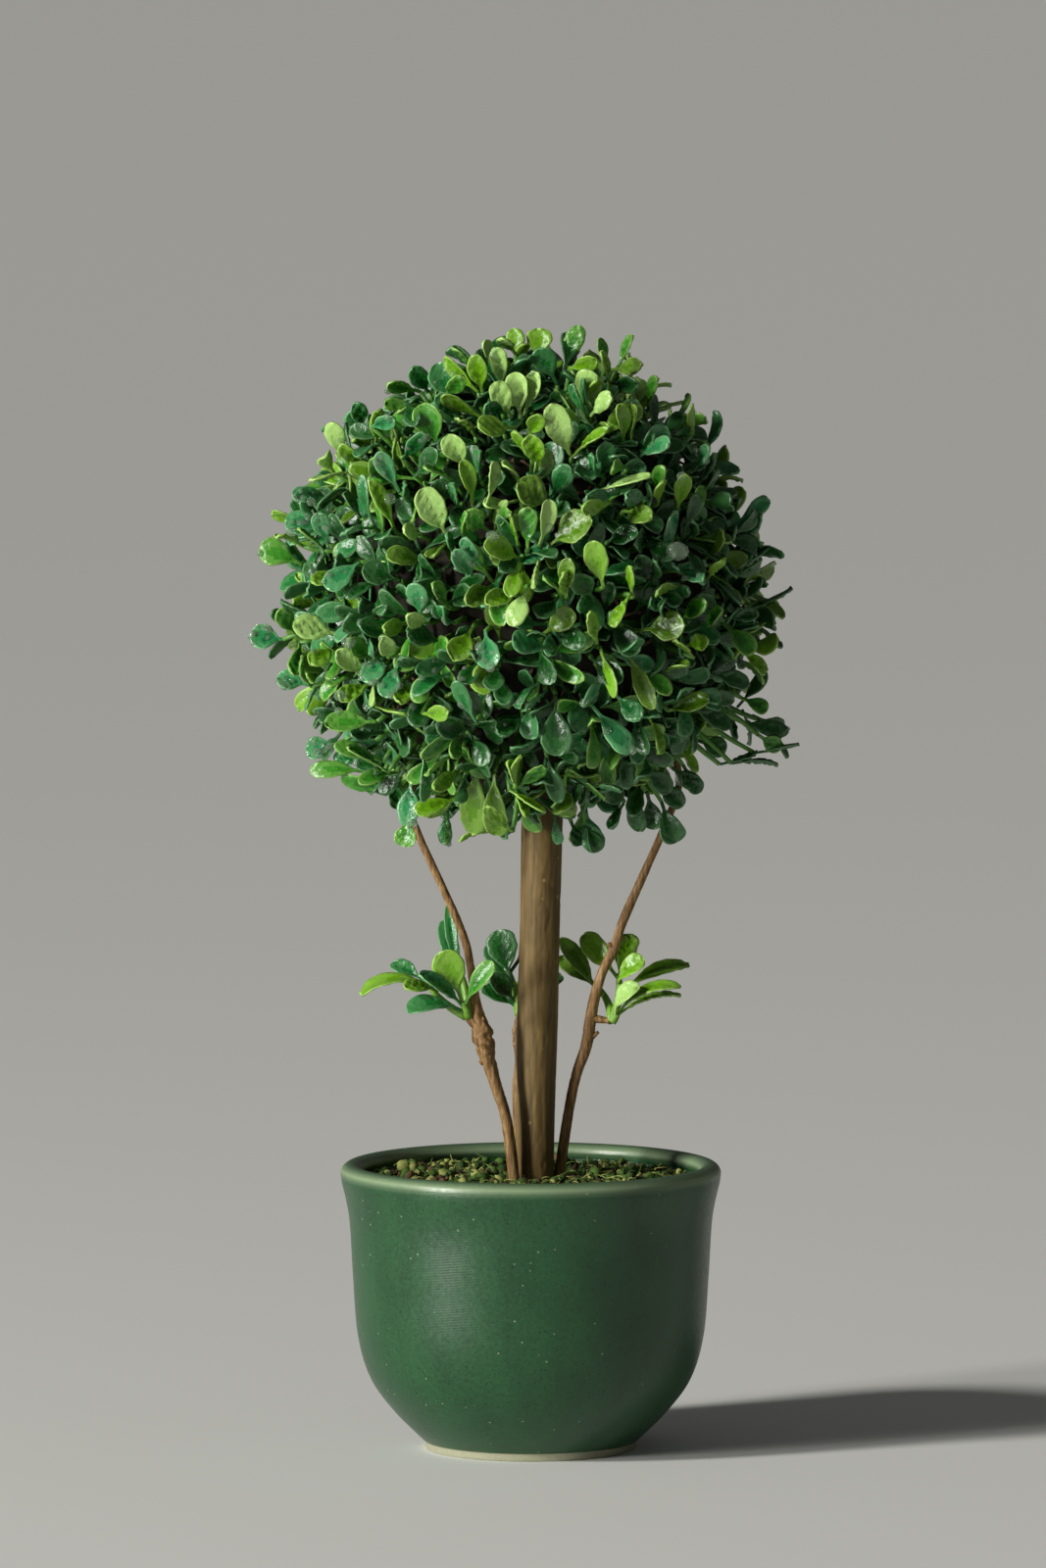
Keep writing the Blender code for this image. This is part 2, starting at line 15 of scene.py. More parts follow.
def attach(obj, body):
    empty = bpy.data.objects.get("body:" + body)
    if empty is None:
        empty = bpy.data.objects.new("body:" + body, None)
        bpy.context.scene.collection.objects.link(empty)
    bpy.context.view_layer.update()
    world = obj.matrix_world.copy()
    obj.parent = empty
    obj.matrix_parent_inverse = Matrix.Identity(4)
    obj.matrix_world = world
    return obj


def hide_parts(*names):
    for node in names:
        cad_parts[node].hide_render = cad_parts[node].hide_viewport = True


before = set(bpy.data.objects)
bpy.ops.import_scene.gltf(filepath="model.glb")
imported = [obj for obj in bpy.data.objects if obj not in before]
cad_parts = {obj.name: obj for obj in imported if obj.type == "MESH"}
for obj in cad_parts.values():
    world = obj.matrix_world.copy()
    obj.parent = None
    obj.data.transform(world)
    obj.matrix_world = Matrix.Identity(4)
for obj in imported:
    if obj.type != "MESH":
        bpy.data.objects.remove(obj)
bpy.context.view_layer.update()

bl_info = {
    "name": "Box topiary ball",
    "version": (1, 0, 0),
    "blender": (4, 5, 0),
    "location": "View3D > Sidebar > Topiary",
    "description": "Builds an artificial box topiary ball in its glazed pot",
    "category": "Object",
}

MM = 0.001
GAP = 0.0003

# Pot profile: radius and height from the glaze line above the bare foot to the widest place under the lip
POT_SIDE = (
    (0.0203, 0.0016),
    (0.0261, 0.0074),
    (0.0305, 0.0137),
    (0.0328, 0.0218),
    (0.0337, 0.0330),
    (0.0344, 0.0440),
    (0.0358, 0.0508),
)
FOOT_HEIGHT = 0.0016
FOOT_RING = 0.0031
FOOT_RECESS = 0.0009
FOOT_GROOVE = 0.0003
FOOT_EDGE = 0.0003
FLOOR_CORNER = 0.0040

# The lip's band where the glaze thins, and how much it does so from the band's foot to its top
LIP_BAND = 0.0028
LIP_THINNING = ((0.0, 0.0), (0.30, 0.20), (0.58, 0.72), (1.0, 0.15))

# The glaze, in millimetres: clouds drawn out upwards, a fine mottle over them, and throwing lines. Pits and
# dust each have the size of their cells, where in a cell a speck ends and where it is full, the share of
# cells without one, and how strongly they show.
GLAZE_CLOUD = 7.0
GLAZE_MOTTLE = 0.8
THROWING_LINE = 0.5
PITS = (1.0, (0.255, 0.119), 0.55, 0.60)
DUST = (1.5, (0.15, 0.07), 0.86, 0.45)

# The scale at which a wave texture's bands are one unit apart
WAVE_SCALE = 0.314

# Points round the pot and over its lip, steps to each stretch of its side, inside and out, and the radius
# that its floor is closed from
POT_AROUND = 132
LIP_POINTS = 25
POT_STEPS = (10, 12)
POT_MIDDLE = 0.004

# Fill: its height, its lumps and their waves, how far it drops over the share of it at the pot's wall, and
# from how near to how far off a limb it rises from flat
GROUND = 0.0510
FILL_LUMP = 0.0009
FILL_WAVES = ((540, 1.3, 470), (910, 600))
FILL_EDGE_DROP = 0.0008
FILL_EDGE_SHARE = 0.15
LIMB_FLAT = (0.0016, 0.0056)

# The bed of moss on it: rings, points on each, how far it sinks, its fine bumps, their waves and its depth
BED_RINGS = 34
BED_AROUND = 110
BED_SINK = 0.0006
BED_BUMP = 0.0005
BED_WAVES = 700
BED_DEPTH = 0.004

# What lies on the bed, in millimetres: the radii of crumbs and chips as least, commonest and most, and the
# lengths of fibres. Each kind has its shares of green, dark and yellow moss and of pale and dark bark, and
# its reach as a share of the fill's rim. Crumbs and chips have rings, points on each, a height as a share
# of their radius, and how ragged they are.
CRUMB_RADII = (0.3, 0.55, 1.45)
CRUMB_SHARES = (0.36, 0.28, 0.28, 0.05, 0.03)
CRUMB_REACH = 0.985
CRUMB_SHAPE = (5, 7, 0.9, 0.28)
CHIP_RADII = (0.5, 0.8, 1.6)
CHIP_SHARES = (0.0, 0.05, 0.1, 0.55, 0.3)
CHIP_REACH = 0.93
CHIP_SHAPE = (4, 6, 0.35, 0.25)
FIBRE_LENGTHS = (1.2, 3.6)
FIBRE_SHARES = (0.4, 0.16, 0.36, 0.06, 0.02)
FIBRE_REACH = 0.97

# A fibre: its radii at its ends, its sway as a share of its length, rings, and points on each. Then how
# level it lies, and how far fibres and chips stand up from the bed.
FIBRE = (0.00014, 0.00008, 0.22, 5, 4)
FIBRE_LEVEL = (1.0, 1.0, 0.28)
FIBRE_RISE = 0.0002
CHIP_RISE = 0.0003
FILL_SEED = 11

# Patterns, in millimetres: grit in the clay and tufts of the moss
CLAY_GRIT = 0.6
MOSS_TUFT = 1.5

# Ball
BALL_CENTRE = np.array((-0.0008, 0.0, 0.1626))
CORE_RADIUS = 0.0395
STEM_TIP = 0.00045


def under_core(x, y):
    """The height at which a stem's tip stops just clear of the ball's core."""
    stop = CORE_RADIUS + GAP + STEM_TIP
    return BALL_CENTRE[2] - math.sqrt(stop**2 - (x - BALL_CENTRE[0]) ** 2 - (y - BALL_CENTRE[1]) ** 2)


# Limbs: x, y, z and radius along each, from the flat cut at the ground to the tip
TRUNK = (
    (0.0006, 0.0000, GROUND + GAP, 0.00375),
    (0.0009, 0.0001, 0.0660, 0.00370),
    (0.0013, 0.0000, 0.0830, 0.00385),
    (0.0017, -0.0001, 0.1000, 0.00380),
    (0.0021, 0.0000, 0.1170, 0.00390),
    (0.0025, 0.0001, 0.1340, 0.00385),
    (0.0028, 0.0000, 0.1500, 0.00380),
)
LEFT_STEM = (
    (-0.0031, -0.0050, GROUND + GAP, 0.00110),
    (-0.0046, -0.0053, 0.0630, 0.00105),
    (-0.0064, -0.0056, 0.0690, 0.00110),
    (-0.0080, -0.0058, 0.0745, 0.00140),
    (-0.0091, -0.0058, 0.0790, 0.00195),
    (-0.0100, -0.0057, 0.0830, 0.00125),
    (-0.0108, -0.0056, 0.0882, 0.00080),
    (-0.0123, -0.0055, 0.0967, 0.00078),
    (-0.0155, -0.0054, 0.1046, 0.00075),
    (-0.0207, -0.0054, 0.1160, 0.00072),
    (-0.0229, -0.0054, 0.1226, 0.00070),
    (-0.0213, -0.0053, under_core(-0.0213, -0.0053), 0.00062),
)
RIGHT_STEM = (
    (0.0053, 0.0014, GROUND + GAP, 0.00105),
    (0.0070, 0.0016, 0.0629, 0.00098),
    (0.0085, 0.0018, 0.0704, 0.00098),
    (0.0105, 0.0018, 0.0763, 0.00110),
    (0.0113, 0.0018, 0.0812, 0.00112),
    (0.0121, 0.0017, 0.0856, 0.00100),
    (0.0135, 0.0016, 0.0903, 0.00092),
    (0.0157, 0.0016, 0.0948, 0.00092),
    (0.0176, 0.0016, 0.1005, 0.00088),
    (0.0218, 0.0015, 0.1100, 0.00078),
    (0.0255, 0.0014, 0.1185, 0.00072),
    (0.0280, 0.0014, 0.1262, 0.00068),
    (0.0267, 0.0012, under_core(0.0267, 0.0012), 0.00060),
)
REAR_STEM = (
    (-0.0014, 0.0062, GROUND + GAP, 0.00115),
    (-0.0023, 0.0064, 0.0620, 0.00110),
    (-0.0024, 0.0065, 0.0680, 0.00108),
    (-0.0019, 0.0067, 0.0730, 0.00115),
    (-0.0018, 0.0070, 0.0786, 0.00160),
    (-0.0013, 0.0074, 0.0835, 0.00110),
    (-0.0006, 0.0082, 0.0930, 0.00085),
    (0.0003, 0.0094, 0.1060, 0.00078),
    (0.0012, 0.0108, 0.1170, 0.00070),
    (0.0012, 0.0114, under_core(0.0012, 0.0114), 0.00062),
)
LIMBS = (TRUNK, LEFT_STEM, RIGHT_STEM, REAR_STEM)

# Broken-off side twigs and nubs on the stems: root, tip, radius at each end
LEFT_SPUR = ((-0.0092, -0.0058, 0.0800), (-0.0117, -0.0062, 0.0824), 0.00120, 0.00080)
RIGHT_SPUR = ((0.0114, 0.0018, 0.0816), (0.0150, 0.0012, 0.0811), 0.00090, 0.00055)
REAR_SPUR = ((-0.0018, 0.0071, 0.0790), (-0.0021, 0.0100, 0.0812), 0.00110, 0.00070)
LEFT_NUBS = (
    ((-0.0080, -0.0058, 0.0752), (-0.0096, -0.0060, 0.0738), 0.00100, 0.00050),
    ((-0.0098, -0.0057, 0.0815), (-0.0087, -0.0066, 0.0826), 0.00090, 0.00045),
)
RIGHT_NUBS = (
    ((0.0107, 0.0018, 0.0775), (0.0128, 0.0014, 0.0790), 0.00080, 0.00030),
    ((0.0158, 0.0016, 0.0950), (0.0146, 0.0010, 0.0958), 0.00075, 0.00040),
)
REAR_NUBS = (((-0.0018, 0.0070, 0.0783), (-0.0032, 0.0064, 0.0790), 0.00090, 0.00045),)

# Bark: the depth of its cracks, and how long and how wide their waves are
TRUNK_BARK = (0.00016, 0.0220, 0.0020)
STEM_BARK = (0.00014, 0.0042, 0.0009)
SPUR_BARK = (0.00012, 0.003, 0.0009)

# Their grain: how wide and how long its streaks are in millimetres, and how soft. The wood's blotches are
# in millimetres too, with the tint that they darken towards, and so are the cells of its pale nicks, half
# a millimetre across: where in a cell a nick ends and where it is full, the share of cells without one,
# and how strongly they show.
TRUNK_GRAIN = (0.9, 14, 0.36)
STEM_GRAIN = (0.5, 4, 0.24)
WOOD_BLOTCH = 4
WOOD_TINT = (0.64, 0.60, 0.50, 1.0)
NICKS = (2.6, (0.17, 0.08), 0.80, 1.0)

# The limbs' meshes: steps to each stretch and points round it, and rings and points of a side twig
TRUNK_STEPS, TRUNK_AROUND = 40, 72
STEM_STEPS, STEM_AROUND = 22, 28
SPUR_RINGS, SPUR_AROUND = 9, 16

# Flakes on a stem's knob: the radius that they start at, the rise in it that makes them deepest, their
# depth as a share of that rise, and how high each is
FLAKES_FROM = 0.0011
FLAKES_FULL = 0.0008
FLAKE_DEPTH = 0.45
FLAKE_HEIGHT = 0.0013

# Sprigs on the stems. Twigs end at these offsets from the spur's tip. Each leaf gives its twig, how far
# along it the leaf starts, the offset of its own tip, its width, its green, how far it turns from facing
# the viewer to facing up, how far it bends back, both in degrees, and how far it cups.
LEFT_TWIGS = ((-0.0010, -0.0014, 0.0030), (-0.0082, 0.0012, 0.0070), (-0.0028, 0.0026, 0.0108))
LEFT_LEAVES = (
    (0, 0.3, (-0.0114, -0.0034, 0.0016), 0.0048, "blue", 50, 75, 0.2),
    (0, 0.6, (-0.0092, -0.0062, 0.0088), 0.0042, "waxy", 48, 30, 0.3),
    (0, 0.9, (-0.0046, -0.0038, 0.0130), 0.0062, "lime", 10, 12, 0.1),
    (0, 0.7, (0.0050, -0.0048, 0.0108), 0.0038, "mid", 28, 40, 0.3),
    (1, 0.8, (-0.0200, 0.0002, 0.0042), 0.0046, "lime", 62, 85, 0.2),
    (1, 0.9, (-0.0142, 0.0062, 0.0096), 0.0034, "blue", 40, 25, 0.3),
    (1, 0.7, (-0.0120, -0.0040, 0.0060), 0.0036, "lime", 40, 40, 0.2),
    (2, 0.6, (-0.0036, 0.0030, 0.0214), 0.0024, "blue", 40, 35, 0.4),
    (2, 0.3, (-0.0046, 0.0072, 0.0176), 0.0036, "blue", 45, 25, 0.3),
)
RIGHT_TWIGS = ((0.0012, -0.0004, 0.0016), (0.0014, 0.0020, 0.0088), (-0.0028, 0.0056, 0.0062))
RIGHT_LEAVES = (
    (0, 0.4, (0.0131, 0.0006, 0.0048), 0.0034, "lime", 80, 55, 0.1),
    (0, 0.9, (0.0130, -0.0034, 0.0068), 0.0036, "lime", 62, 75, 0.2),
    (0, 0.6, (0.0052, -0.0046, 0.0072), 0.0046, "pale", 45, 85, 0.2),
    (1, 0.8, (0.0062, -0.0016, 0.0116), 0.0044, "lime", 40, 60, 0.4),
    (1, 0.9, (-0.0052, 0.0058, 0.0160), 0.0046, "lime", 15, 25, 0.3),
    (1, 0.8, (0.0036, 0.0068, 0.0158), 0.0046, "olive", 12, 20, 0.3),
    (1, 0.6, (0.0146, 0.0082, 0.0098), 0.0042, "olive", 50, 40, 0.3),
    (2, 0.7, (-0.0098, 0.0078, 0.0150), 0.0040, "olive", 60, 15, 0.3),
    (2, 0.9, (-0.0096, 0.0112, 0.0110), 0.0040, "olive", 35, 25, 0.3),
)
REAR_TWIGS = ((-0.0006, 0.0014, 0.0020), (-0.0022, 0.0026, 0.0084))
REAR_LEAVES = (
    (0, 0.6, (-0.0066, 0.0036, 0.0050), 0.0044, "deep", 40, 30, 0.3),
    (0, 0.9, (-0.0054, -0.0008, 0.0078), 0.0042, "deep", 40, 20, 0.3),
    (0, 0.8, (0.0080, 0.0042, 0.0070), 0.0044, "deep", 40, 30, 0.3),
    (0, 0.7, (0.0030, 0.0104, 0.0060), 0.0044, "mid", 60, 30, 0.3),
    (1, 0.7, (-0.0040, 0.0036, 0.0158), 0.0060, "deep", 5, 12, 0.1),
    (1, 0.6, (-0.0060, 0.0058, 0.0128), 0.0040, "deep", 30, 20, 0.3),
    (1, 0.9, (0.0040, 0.0064, 0.0150), 0.0046, "deep", 20, 25, 0.3),
)
SPRIG_SEED = 5

# Twigs of a stem's sprig, of the ball and of its core: radii at the root and the tip, sway as a share of
# the length, rings, and points on each
SPRIG_TWIG = (0.00095, 0.00050, 0.08, 9, 10)
BALL_TWIG = (0.00070, 0.00042, 0.05, 5, 6)
CORE_TWIG = (0.00042, 0.00025, 0.12, 5, 6)

# Ball rule, first with the solid's own sprigs and then with finer ones between them: how far they reach
# from the ball's centre, how low, how many they are, and how far off its even place each may point
BALL_REACH = (0.0480, 0.0524)
FINE_REACH = (0.0450, 0.0500)
BALL_BOTTOM = 0.1130
BALL_SPRIGS = 106
BALL_JITTER = 0.09
BALL_SEED = 20
FINE_SEED = 7
FINE_TURN = 1.1
GOLDEN_ANGLE = math.pi * (3.0 - math.sqrt(5.0))

# A sprig's leaves: the share of one that stands past the twig's end, the stretch of twig that bears them
# and its spare above the core, how far each leans in degrees from the tip down, its turn in radians, its
# size beside the tip's, and how far its face may turn. One more upright than UPRIGHT faces inwards.
LENGTH_IN_REACH = 0.95
LEAFY_LENGTH = 0.0055
CORE_SPARE = 0.002
LEAF_LEANS = ((0, 14), (18, 42), (25, 55), (42, 72), (50, 80), (55, 86))
TURN_JITTER = 0.4
SIZE_SPREAD = (0.80, 1.06)
FACE_JITTER = 0.8
UPRIGHT = 0.3

# The room that a leaf keeps to its sprig's reach, to other leaves and to the limbs, the places along it
# where that is tested, and how many times it is tried
REACH_SPARE = -0.0008
LEAF_ROOM = 0.0015
LIMB_CLEARANCE = 0.0003
FRONT_SAMPLES = (0.3, 0.55, 0.8, 1.0)
BALL_SAMPLES = (0.4, 0.7, 1.0)
BALL_TRIES = 7

# Sprigs that stray from the ball: bearing and rise in degrees, and reach
STRAYS = (
    (180.0, -9.0, 0.0542),
    (180.0, -37.0, 0.0540),
    (2.0, 81.0, 0.0508),
    (-4.0, -5.0, 0.0532),
    (4.0, -29.0, 0.0602),
)

# The core: its radius, the lumps on it as waves round it and heights, its blotches in millimetres, and
# the bits of twig stuck on, with their rise off it, their length and how low they stop above the ball's
# bottom
CORE_SKIN = 0.0350
CORE_LUMPS = ((9.0, 0.0009), (34.0, 0.0007))
CORE_BLOTCH = 3.0
CORE_TWIGS = 260
CORE_TWIG_RISE = (0.1, 0.5)
CORE_TWIG_LENGTH = (0.003, 0.007)
CORE_TWIG_BOTTOM = 0.004

# Short leaves close to the core: how many, how far out and aside their tips are, and their widths
INNER_LEAVES = 420
INNER_TURN = 0.4
INNER_REACH = (0.0390, 0.0425)
INNER_ASIDE = (0.0045, 0.0090)
INNER_WIDTH = (0.0030, 0.0048)
INNER_CLEARANCE = 0.0020

# The greens: how pale each one's edges are, thin and with a painted highlight along the rim, how far its dark
# heart spreads, how wet it is, and how often it comes at the front and at the back
GREENS = ("deep", "blue", "mid", "olive", "lime", "pale", "waxy")
COOL_GREENS = ("deep", "blue", "waxy")
EDGE_SHARE = {
    "deep": 0.26, "blue": 0.36, "mid": 0.42, "olive": 0.40, "lime": 0.45, "pale": 0.35, "waxy": 0.60
}
HEARTS = {
    "deep": (-0.1, 0.5),
    "blue": (-0.3, 0.4),
    "mid": (0.0, 0.5),
    "olive": (-0.2, 0.45),
    "lime": (-0.2, 0.35),
    "pale": (-0.6, 0.1),
    "waxy": (-0.1, 0.35),
}
LEAF_ROUGHNESS = {
    "deep": 0.26, "blue": 0.25, "mid": 0.26, "olive": 0.26, "lime": 0.27, "pale": 0.27, "waxy": 0.16
}
WETNESS = {"deep": 1.0, "blue": 2.0, "mid": 0.8, "olive": 0.4, "lime": 0.4, "pale": 0.6, "waxy": 12.0}
FRONT_SHARES = (0.46, 0.22, 0.18, 0.08, 0.03, 0.01, 0.02)
BACK_SHARES = (0.30, 0.18, 0.16, 0.10, 0.13, 0.05, 0.08)
SPRIG_GREEN_SHARE = 0.86

# Lighter patches on the back: how many, how far each spreads and the ball's radius in millimetres, how
# many of its sprigs take its green, and the greens. The front starts where a sprig points at least this
# much towards the viewer.
PATCHES = 26
PATCH_SPREAD = 9.0
PATCH_RADIUS = 46.0
PATCH_FULLNESS = 0.9
PATCH_GREENS = ("lime", "lime", "pale", "olive", "mid")
FRONT_SHARE = 0.15

# Leaves that can be told apart at the front, by green. Each has its blade's foot and its tip, to the
# side and up from the ball's centre as the viewer sees it, and its breadth as seen, in millimetres.
FRONT_LEAVES = {
    "lime": (
        (-9, 37, -15.2, 43.8, 2.6), (-8.2, 37, -9.6, 44, 4), (-2, 43.5, -2.1, 49.6, 3.8),
        (2.4, 43, 2.6, 49.6, 5), (-2.2, 29.8, -9, 30.1, 4.9), (-10, 15.5, -12, 23.6, 2.8),
        (1, 23.8, -2.2, 29, 2.6), (2.8, 22.2, 0.8, 28.4, 4.2), (0.4, 28.6, 2.6, 32.2, 3),
        (8.4, 24.3, 15.2, 29.4, 2.4), (8, 41.6, 13.2, 43, 2.6), (13.2, 35.6, 12.9, 39, 1.7),
        (15.6, 38, 13.8, 44.7, 1.4), (17.8, 27.5, 17, 34.3, 2.3), (24.4, 15.8, 25, 19.6, 2.6),
        (28, 15, 29.4, 21.2, 2.8), (15.5, 16, 10.1, 14.6, 1.8), (14.2, 0.2, 12.2, 8.6, 4.6),
        (7.2, -1.8, 7, 2.6, 2.6), (19.8, -1.6, 19.2, 3.8, 3.3), (19.2, -1.2, 16, -7.4, 2.9),
        (13, -10.2, 11.5, -4.6, 2.7), (13.6, -11, 16.4, -20.2, 2.7), (22.4, -23.2, 24.6, -30.8, 1.3),
        (-3.2, -37.4, 3.4, -41.6, 1.9), (-2.2, -37, -3.7, -32.2, 1.2), (-2.2, -37.2, -0.4, -42.4, 1.2),
        (-2, -37, -1.2, -31.2, 1.1), (-4, -45.4, -12.6, -47.2, 1.6), (-13, -39, -20.8, -41.6, 3.8),
        (-13.2, -33.8, -17.6, -37, 2.5), (-19.4, -23.2, -14.5, -22.8, 2.3), (-1.8, 5.6, -7.9, 7.8, 4.7),
        (-1.6, 8.2, -3.1, 13.8, 2.8), (-1.3, 4.6, -3.2, -1.8, 3.2), (-1.9, -1.4, -7.6, -3, 3.9),
        (-30, 24, -34.6, 27.2, 2.8), (-24.4, 10.6, -29, 20.2, 3.1), (-34, 3.6, -39.8, 1, 3.5),
        (-35.6, -11, -40.2, -14, 4.1), (-29, -17.6, -34.8, -20.6, 3.6), (-22.6, -16.4, -23.6, -21.4, 3),
        (-28, -21.8, -22.4, -23.4, 1.7), (-42, 8.4, -46.8, 10, 2.2), (-41, 13, -48, 15, 1.1),
        (-28.2, 27.6, -28, 33.4, 2.6), (29.4, -10.6, 33.6, -9.6, 2.8), (31.2, 29.6, 31, 34.4, 2),
        (33.6, 2, 36.6, 5, 2.4), (-22.4, -6.4, -26.6, -7.6, 2.4),
    ),
    "pale": (
        (-4.6, 38, -5.4, 45.4, 3.6), (-6, 41, -8.2, 46.6, 1.9), (-2, 44.5, -4.7, 47.2, 2.4),
        (-7.5, 15.3, -6.3, 23.3, 1.3), (-3, 32, -5.6, 38.6, 4.2), (-1.2, 31.6, -1.8, 40.4, 4.6),
        (-0.4, 32.6, 2.1, 40.4, 3.8), (8.2, 24.6, 4.6, 34.2, 5.2), (12, 33.6, 11.2, 41, 5.2),
        (11.8, 32.2, 15.9, 35.8, 4), (-11.5, 22.3, -14.2, 28.6, 4.7), (13, 18, 23, 20.9, 2.3),
        (2.4, 8, 4, 16.2, 2.3), (-15, 10.2, -19.4, 18.4, 5.4), (0.6, 0.2, -2.8, -7.2, 4.4),
        (2.1, 5, 1.5, 0.1, 2), (-35, 25.2, -36.3, 31.6, 4.3), (-36, 21.8, -37.4, 24.9, 2.2),
        (-33, 22.2, -40.6, 20.4, 1.5), (-20.2, 10, -22.8, 10.6, 2.8), (-35, -8.4, -43.6, -6.4, 4.9),
        (-31, -16, -35.2, -11.4, 3.6), (-25.6, -12.8, -26.4, -8.8, 3), (-28, -17.6, -28.3, -21.3, 2.1),
        (-18.6, -6.4, -22.2, -5.2, 1.7),
    ),
    "olive": (
        (-8, 31.8, -15.8, 36, 2), (-9.5, 28.4, -12.8, 31.2, 2.7), (16, 41.6, 21.7, 42.2, 3.6),
        (19.6, 27.6, 20.4, 34.2, 2.9), (4.8, 15.2, -1.8, 19.2, 6.2), (18, 14.4, 23, 12.6, 4.4),
        (4.4, 8, 12, 12.8, 6.6), (7.4, -1.6, 7.8, 5.4, 3.4), (28, 0.5, 24, -1, 1.8),
        (20.6, -7.8, 29.2, -6.6, 5.8), (18.6, -11.4, 23.6, -22.4, 3.5), (26, -15.2, 29.9, -14.4, 2.9),
        (-9, -32, -10, -45.6, 5.8), (-6, -34, -5.2, -45.8, 4.8), (-10, -7.4, -13.4, -13.5, 5),
        (-19.6, 5, -25.9, 5.6, 4.5), (26.4, -22.6, 34, -20.6, 4), (31, -12.8, 27.6, -9.8, 2.6),
        (-2.6, -45.2, -7.4, -40.4, 3),
    ),
    "mid": (
        (-10.2, 41, -13.8, 45.3, 1.6), (-20, 37.4, -26, 38.7, 2), (-14.8, 36.8, -12, 39.8, 1.8),
        (-16.4, 26.8, -19.4, 34.5, 5.6), (6.8, 41.5, 10.2, 50.1, 4), (14.8, 42, 13.7, 47.8, 1.7),
        (17.4, 42.6, 19.9, 48.4, 2.6), (22.8, 34.2, 24.5, 39.9, 3.3), (18.8, 22.5, 16, 22.1, 1),
        (24, 18, 25.6, 22.6, 3.4), (6.5, -2, 3.2, 1.6, 1.7), (-2, -37, 3.3, -33, 1.7),
        (-15, -41.4, -15.4, -47.6, 2.6), (-22, -42.5, -22.8, -48, 4.6), (-12.4, -26.4, -19.8, -31.2, 1.9),
        (-12.6, -27.4, -14, -31.2, 1.6), (-13.4, 20, -19, 22.2, 2.8), (-10.6, 8.8, -10.9, 13.8, 3),
        (0.2, 7, 0.1, 14.8, 3.9), (-14.6, -3.6, -17.4, 0.7, 3.3), (-42, 5, -50.2, 8.3, 5.4),
        (-38, 7.6, -42.6, 11.4, 1.5), (-26.4, 20.6, -28.6, 24.4, 3.7), (-43.4, -8, -46.4, -3.6, 3.6),
        (-42.6, -9.8, -43.9, -15.8, 2.4), (-40.4, -18, -41.8, -12.6, 2.1), (-33, -16.4, -36.8, -18.2, 3.2),
        (-28, -24.6, -37.8, -25, 4.4), (-30, -34, -40.7, -33.8, 3.5), (-27, -32, -36, -29, 3.4),
        (-26, -34, -33.6, -29.4, 2.2), (-26, -37, -35, -35, 2.2), (-29, -13, -33, -9.6, 3.8),
        (29, -5.4, 33.4, -2.8, 3.8), (33, -7.4, 36.4, -4, 3.4), (-14, -31, -18.6, -34.7, 1.9),
        (40.4, -20, 45.4, -22.4, 3.2), (43.6, -27, 48, -29.4, 3), (-24.5, -34, -31.5, -36.2, 3.4),
    ),
    "blue": (
        (-14.8, -40.6, -15, -47.8, 3.2), (11, -41, 13.2, -49.2, 4.4), (5.2, -42, 6.2, -47.6, 2.2),
        (-14, 36, -16.6, 42.6, 5.6), (-18.5, 37.5, -21.4, 42, 3.8), (-13.5, 31.5, -16.2, 36.5, 3.4),
        (-23, 24.2, -19, 29, 1.9), (-8.6, 20, -8.6, 25.4, 3), (-4.4, 33, -7.8, 33.9, 1.5),
        (5.8, 38.5, 2.2, 45.2, 4.8), (11.4, 31.8, 8.6, 38.2, 2.4), (11.9, 32, 10.7, 39.4, 1.8),
        (14.4, 20.6, 12.3, 24.7, 1.9), (22.5, 16.8, 18.2, 16.9, 2.2), (17, 17.6, 10.8, 16.2, 2.7),
        (16.2, -19.4, 21.2, -24.2, 4.1), (4.6, -11.6, -2.7, -9.5, 4.8), (2.8, -17.2, -1.4, -22.4, 2.5),
        (3.5, -19, -0.4, -22.7, 1.8), (-0.6, -41.6, -4, -46.5, 1.1), (-19.6, -30, -19.4, -39.6, 1.4),
        (-13.8, -13.2, -20.6, -15.6, 3), (-13.6, -15.4, -21, -19.9, 3.3), (-9.2, -25, -13.2, -17.2, 3),
        (-12, 14.6, -13.4, 19.3, 3), (-13.2, 6.5, -14.9, 9.6, 2.1), (-13.4, -6.4, -15.4, -3.6, 2.8),
        (-21.4, 15, -22.6, 19.3, 1.9), (-38.6, -16.4, -41.4, -22.2, 1.3), (-25.4, -8.6, -31.2, -6.6, 3.7),
        (-27.6, 27, -31.6, 24.6, 3), (-31, 31, -32, 35.6, 3.2), (12.4, -36.6, 17.4, -37.6, 1.6),
        (-30, -31, -36.4, -31.6, 3.4),
    ),
    "waxy": (
        (-37, 17.2, -43.9, 17.6, 3.8), (-37, 12, -45.2, 12.7, 5.2), (-37, 8.6, -38.7, 14.2, 3.6),
        (-23.6, 18, -27.6, 25.4, 3.6), (-31, 5, -37.2, 0, 4.6), (-46, -9, -52, -8.6, 5),
        (-41, -17.6, -47, -16.4, 4.3), (-35, -28.6, -41.5, -30.2, 4.9), (-26.4, -12.6, -29.5, -17.6, 4.5),
        (-23.6, -13.6, -26.3, -20.2, 4.3), (12.2, -21.8, 19.4, -30.4, 4.4),
        (-21.6, -35.4, -22.4, -44.5, 4.4), (-19.6, -5, -20.4, 0.8, 4.3), (-10, 2.2, -13.3, 6.9, 3.6),
        (-8.4, 4.2, -11.4, 9.2, 3.3), (-7.6, -8, -6.6, -15, 4.6), (31, 22.4, 34, 26.4, 3.4),
        (28, 3.4, 32.6, 1.4, 3), (-29, 30.4, -24.6, 31.8, 2.2),
    ),
    "deep": (
        (24.2, -35.6, 29.6, -40.4, 3.8), (22.6, -37.6, 24.4, -44.8, 4), (19.2, -37.2, 21.6, -45.2, 3.6),
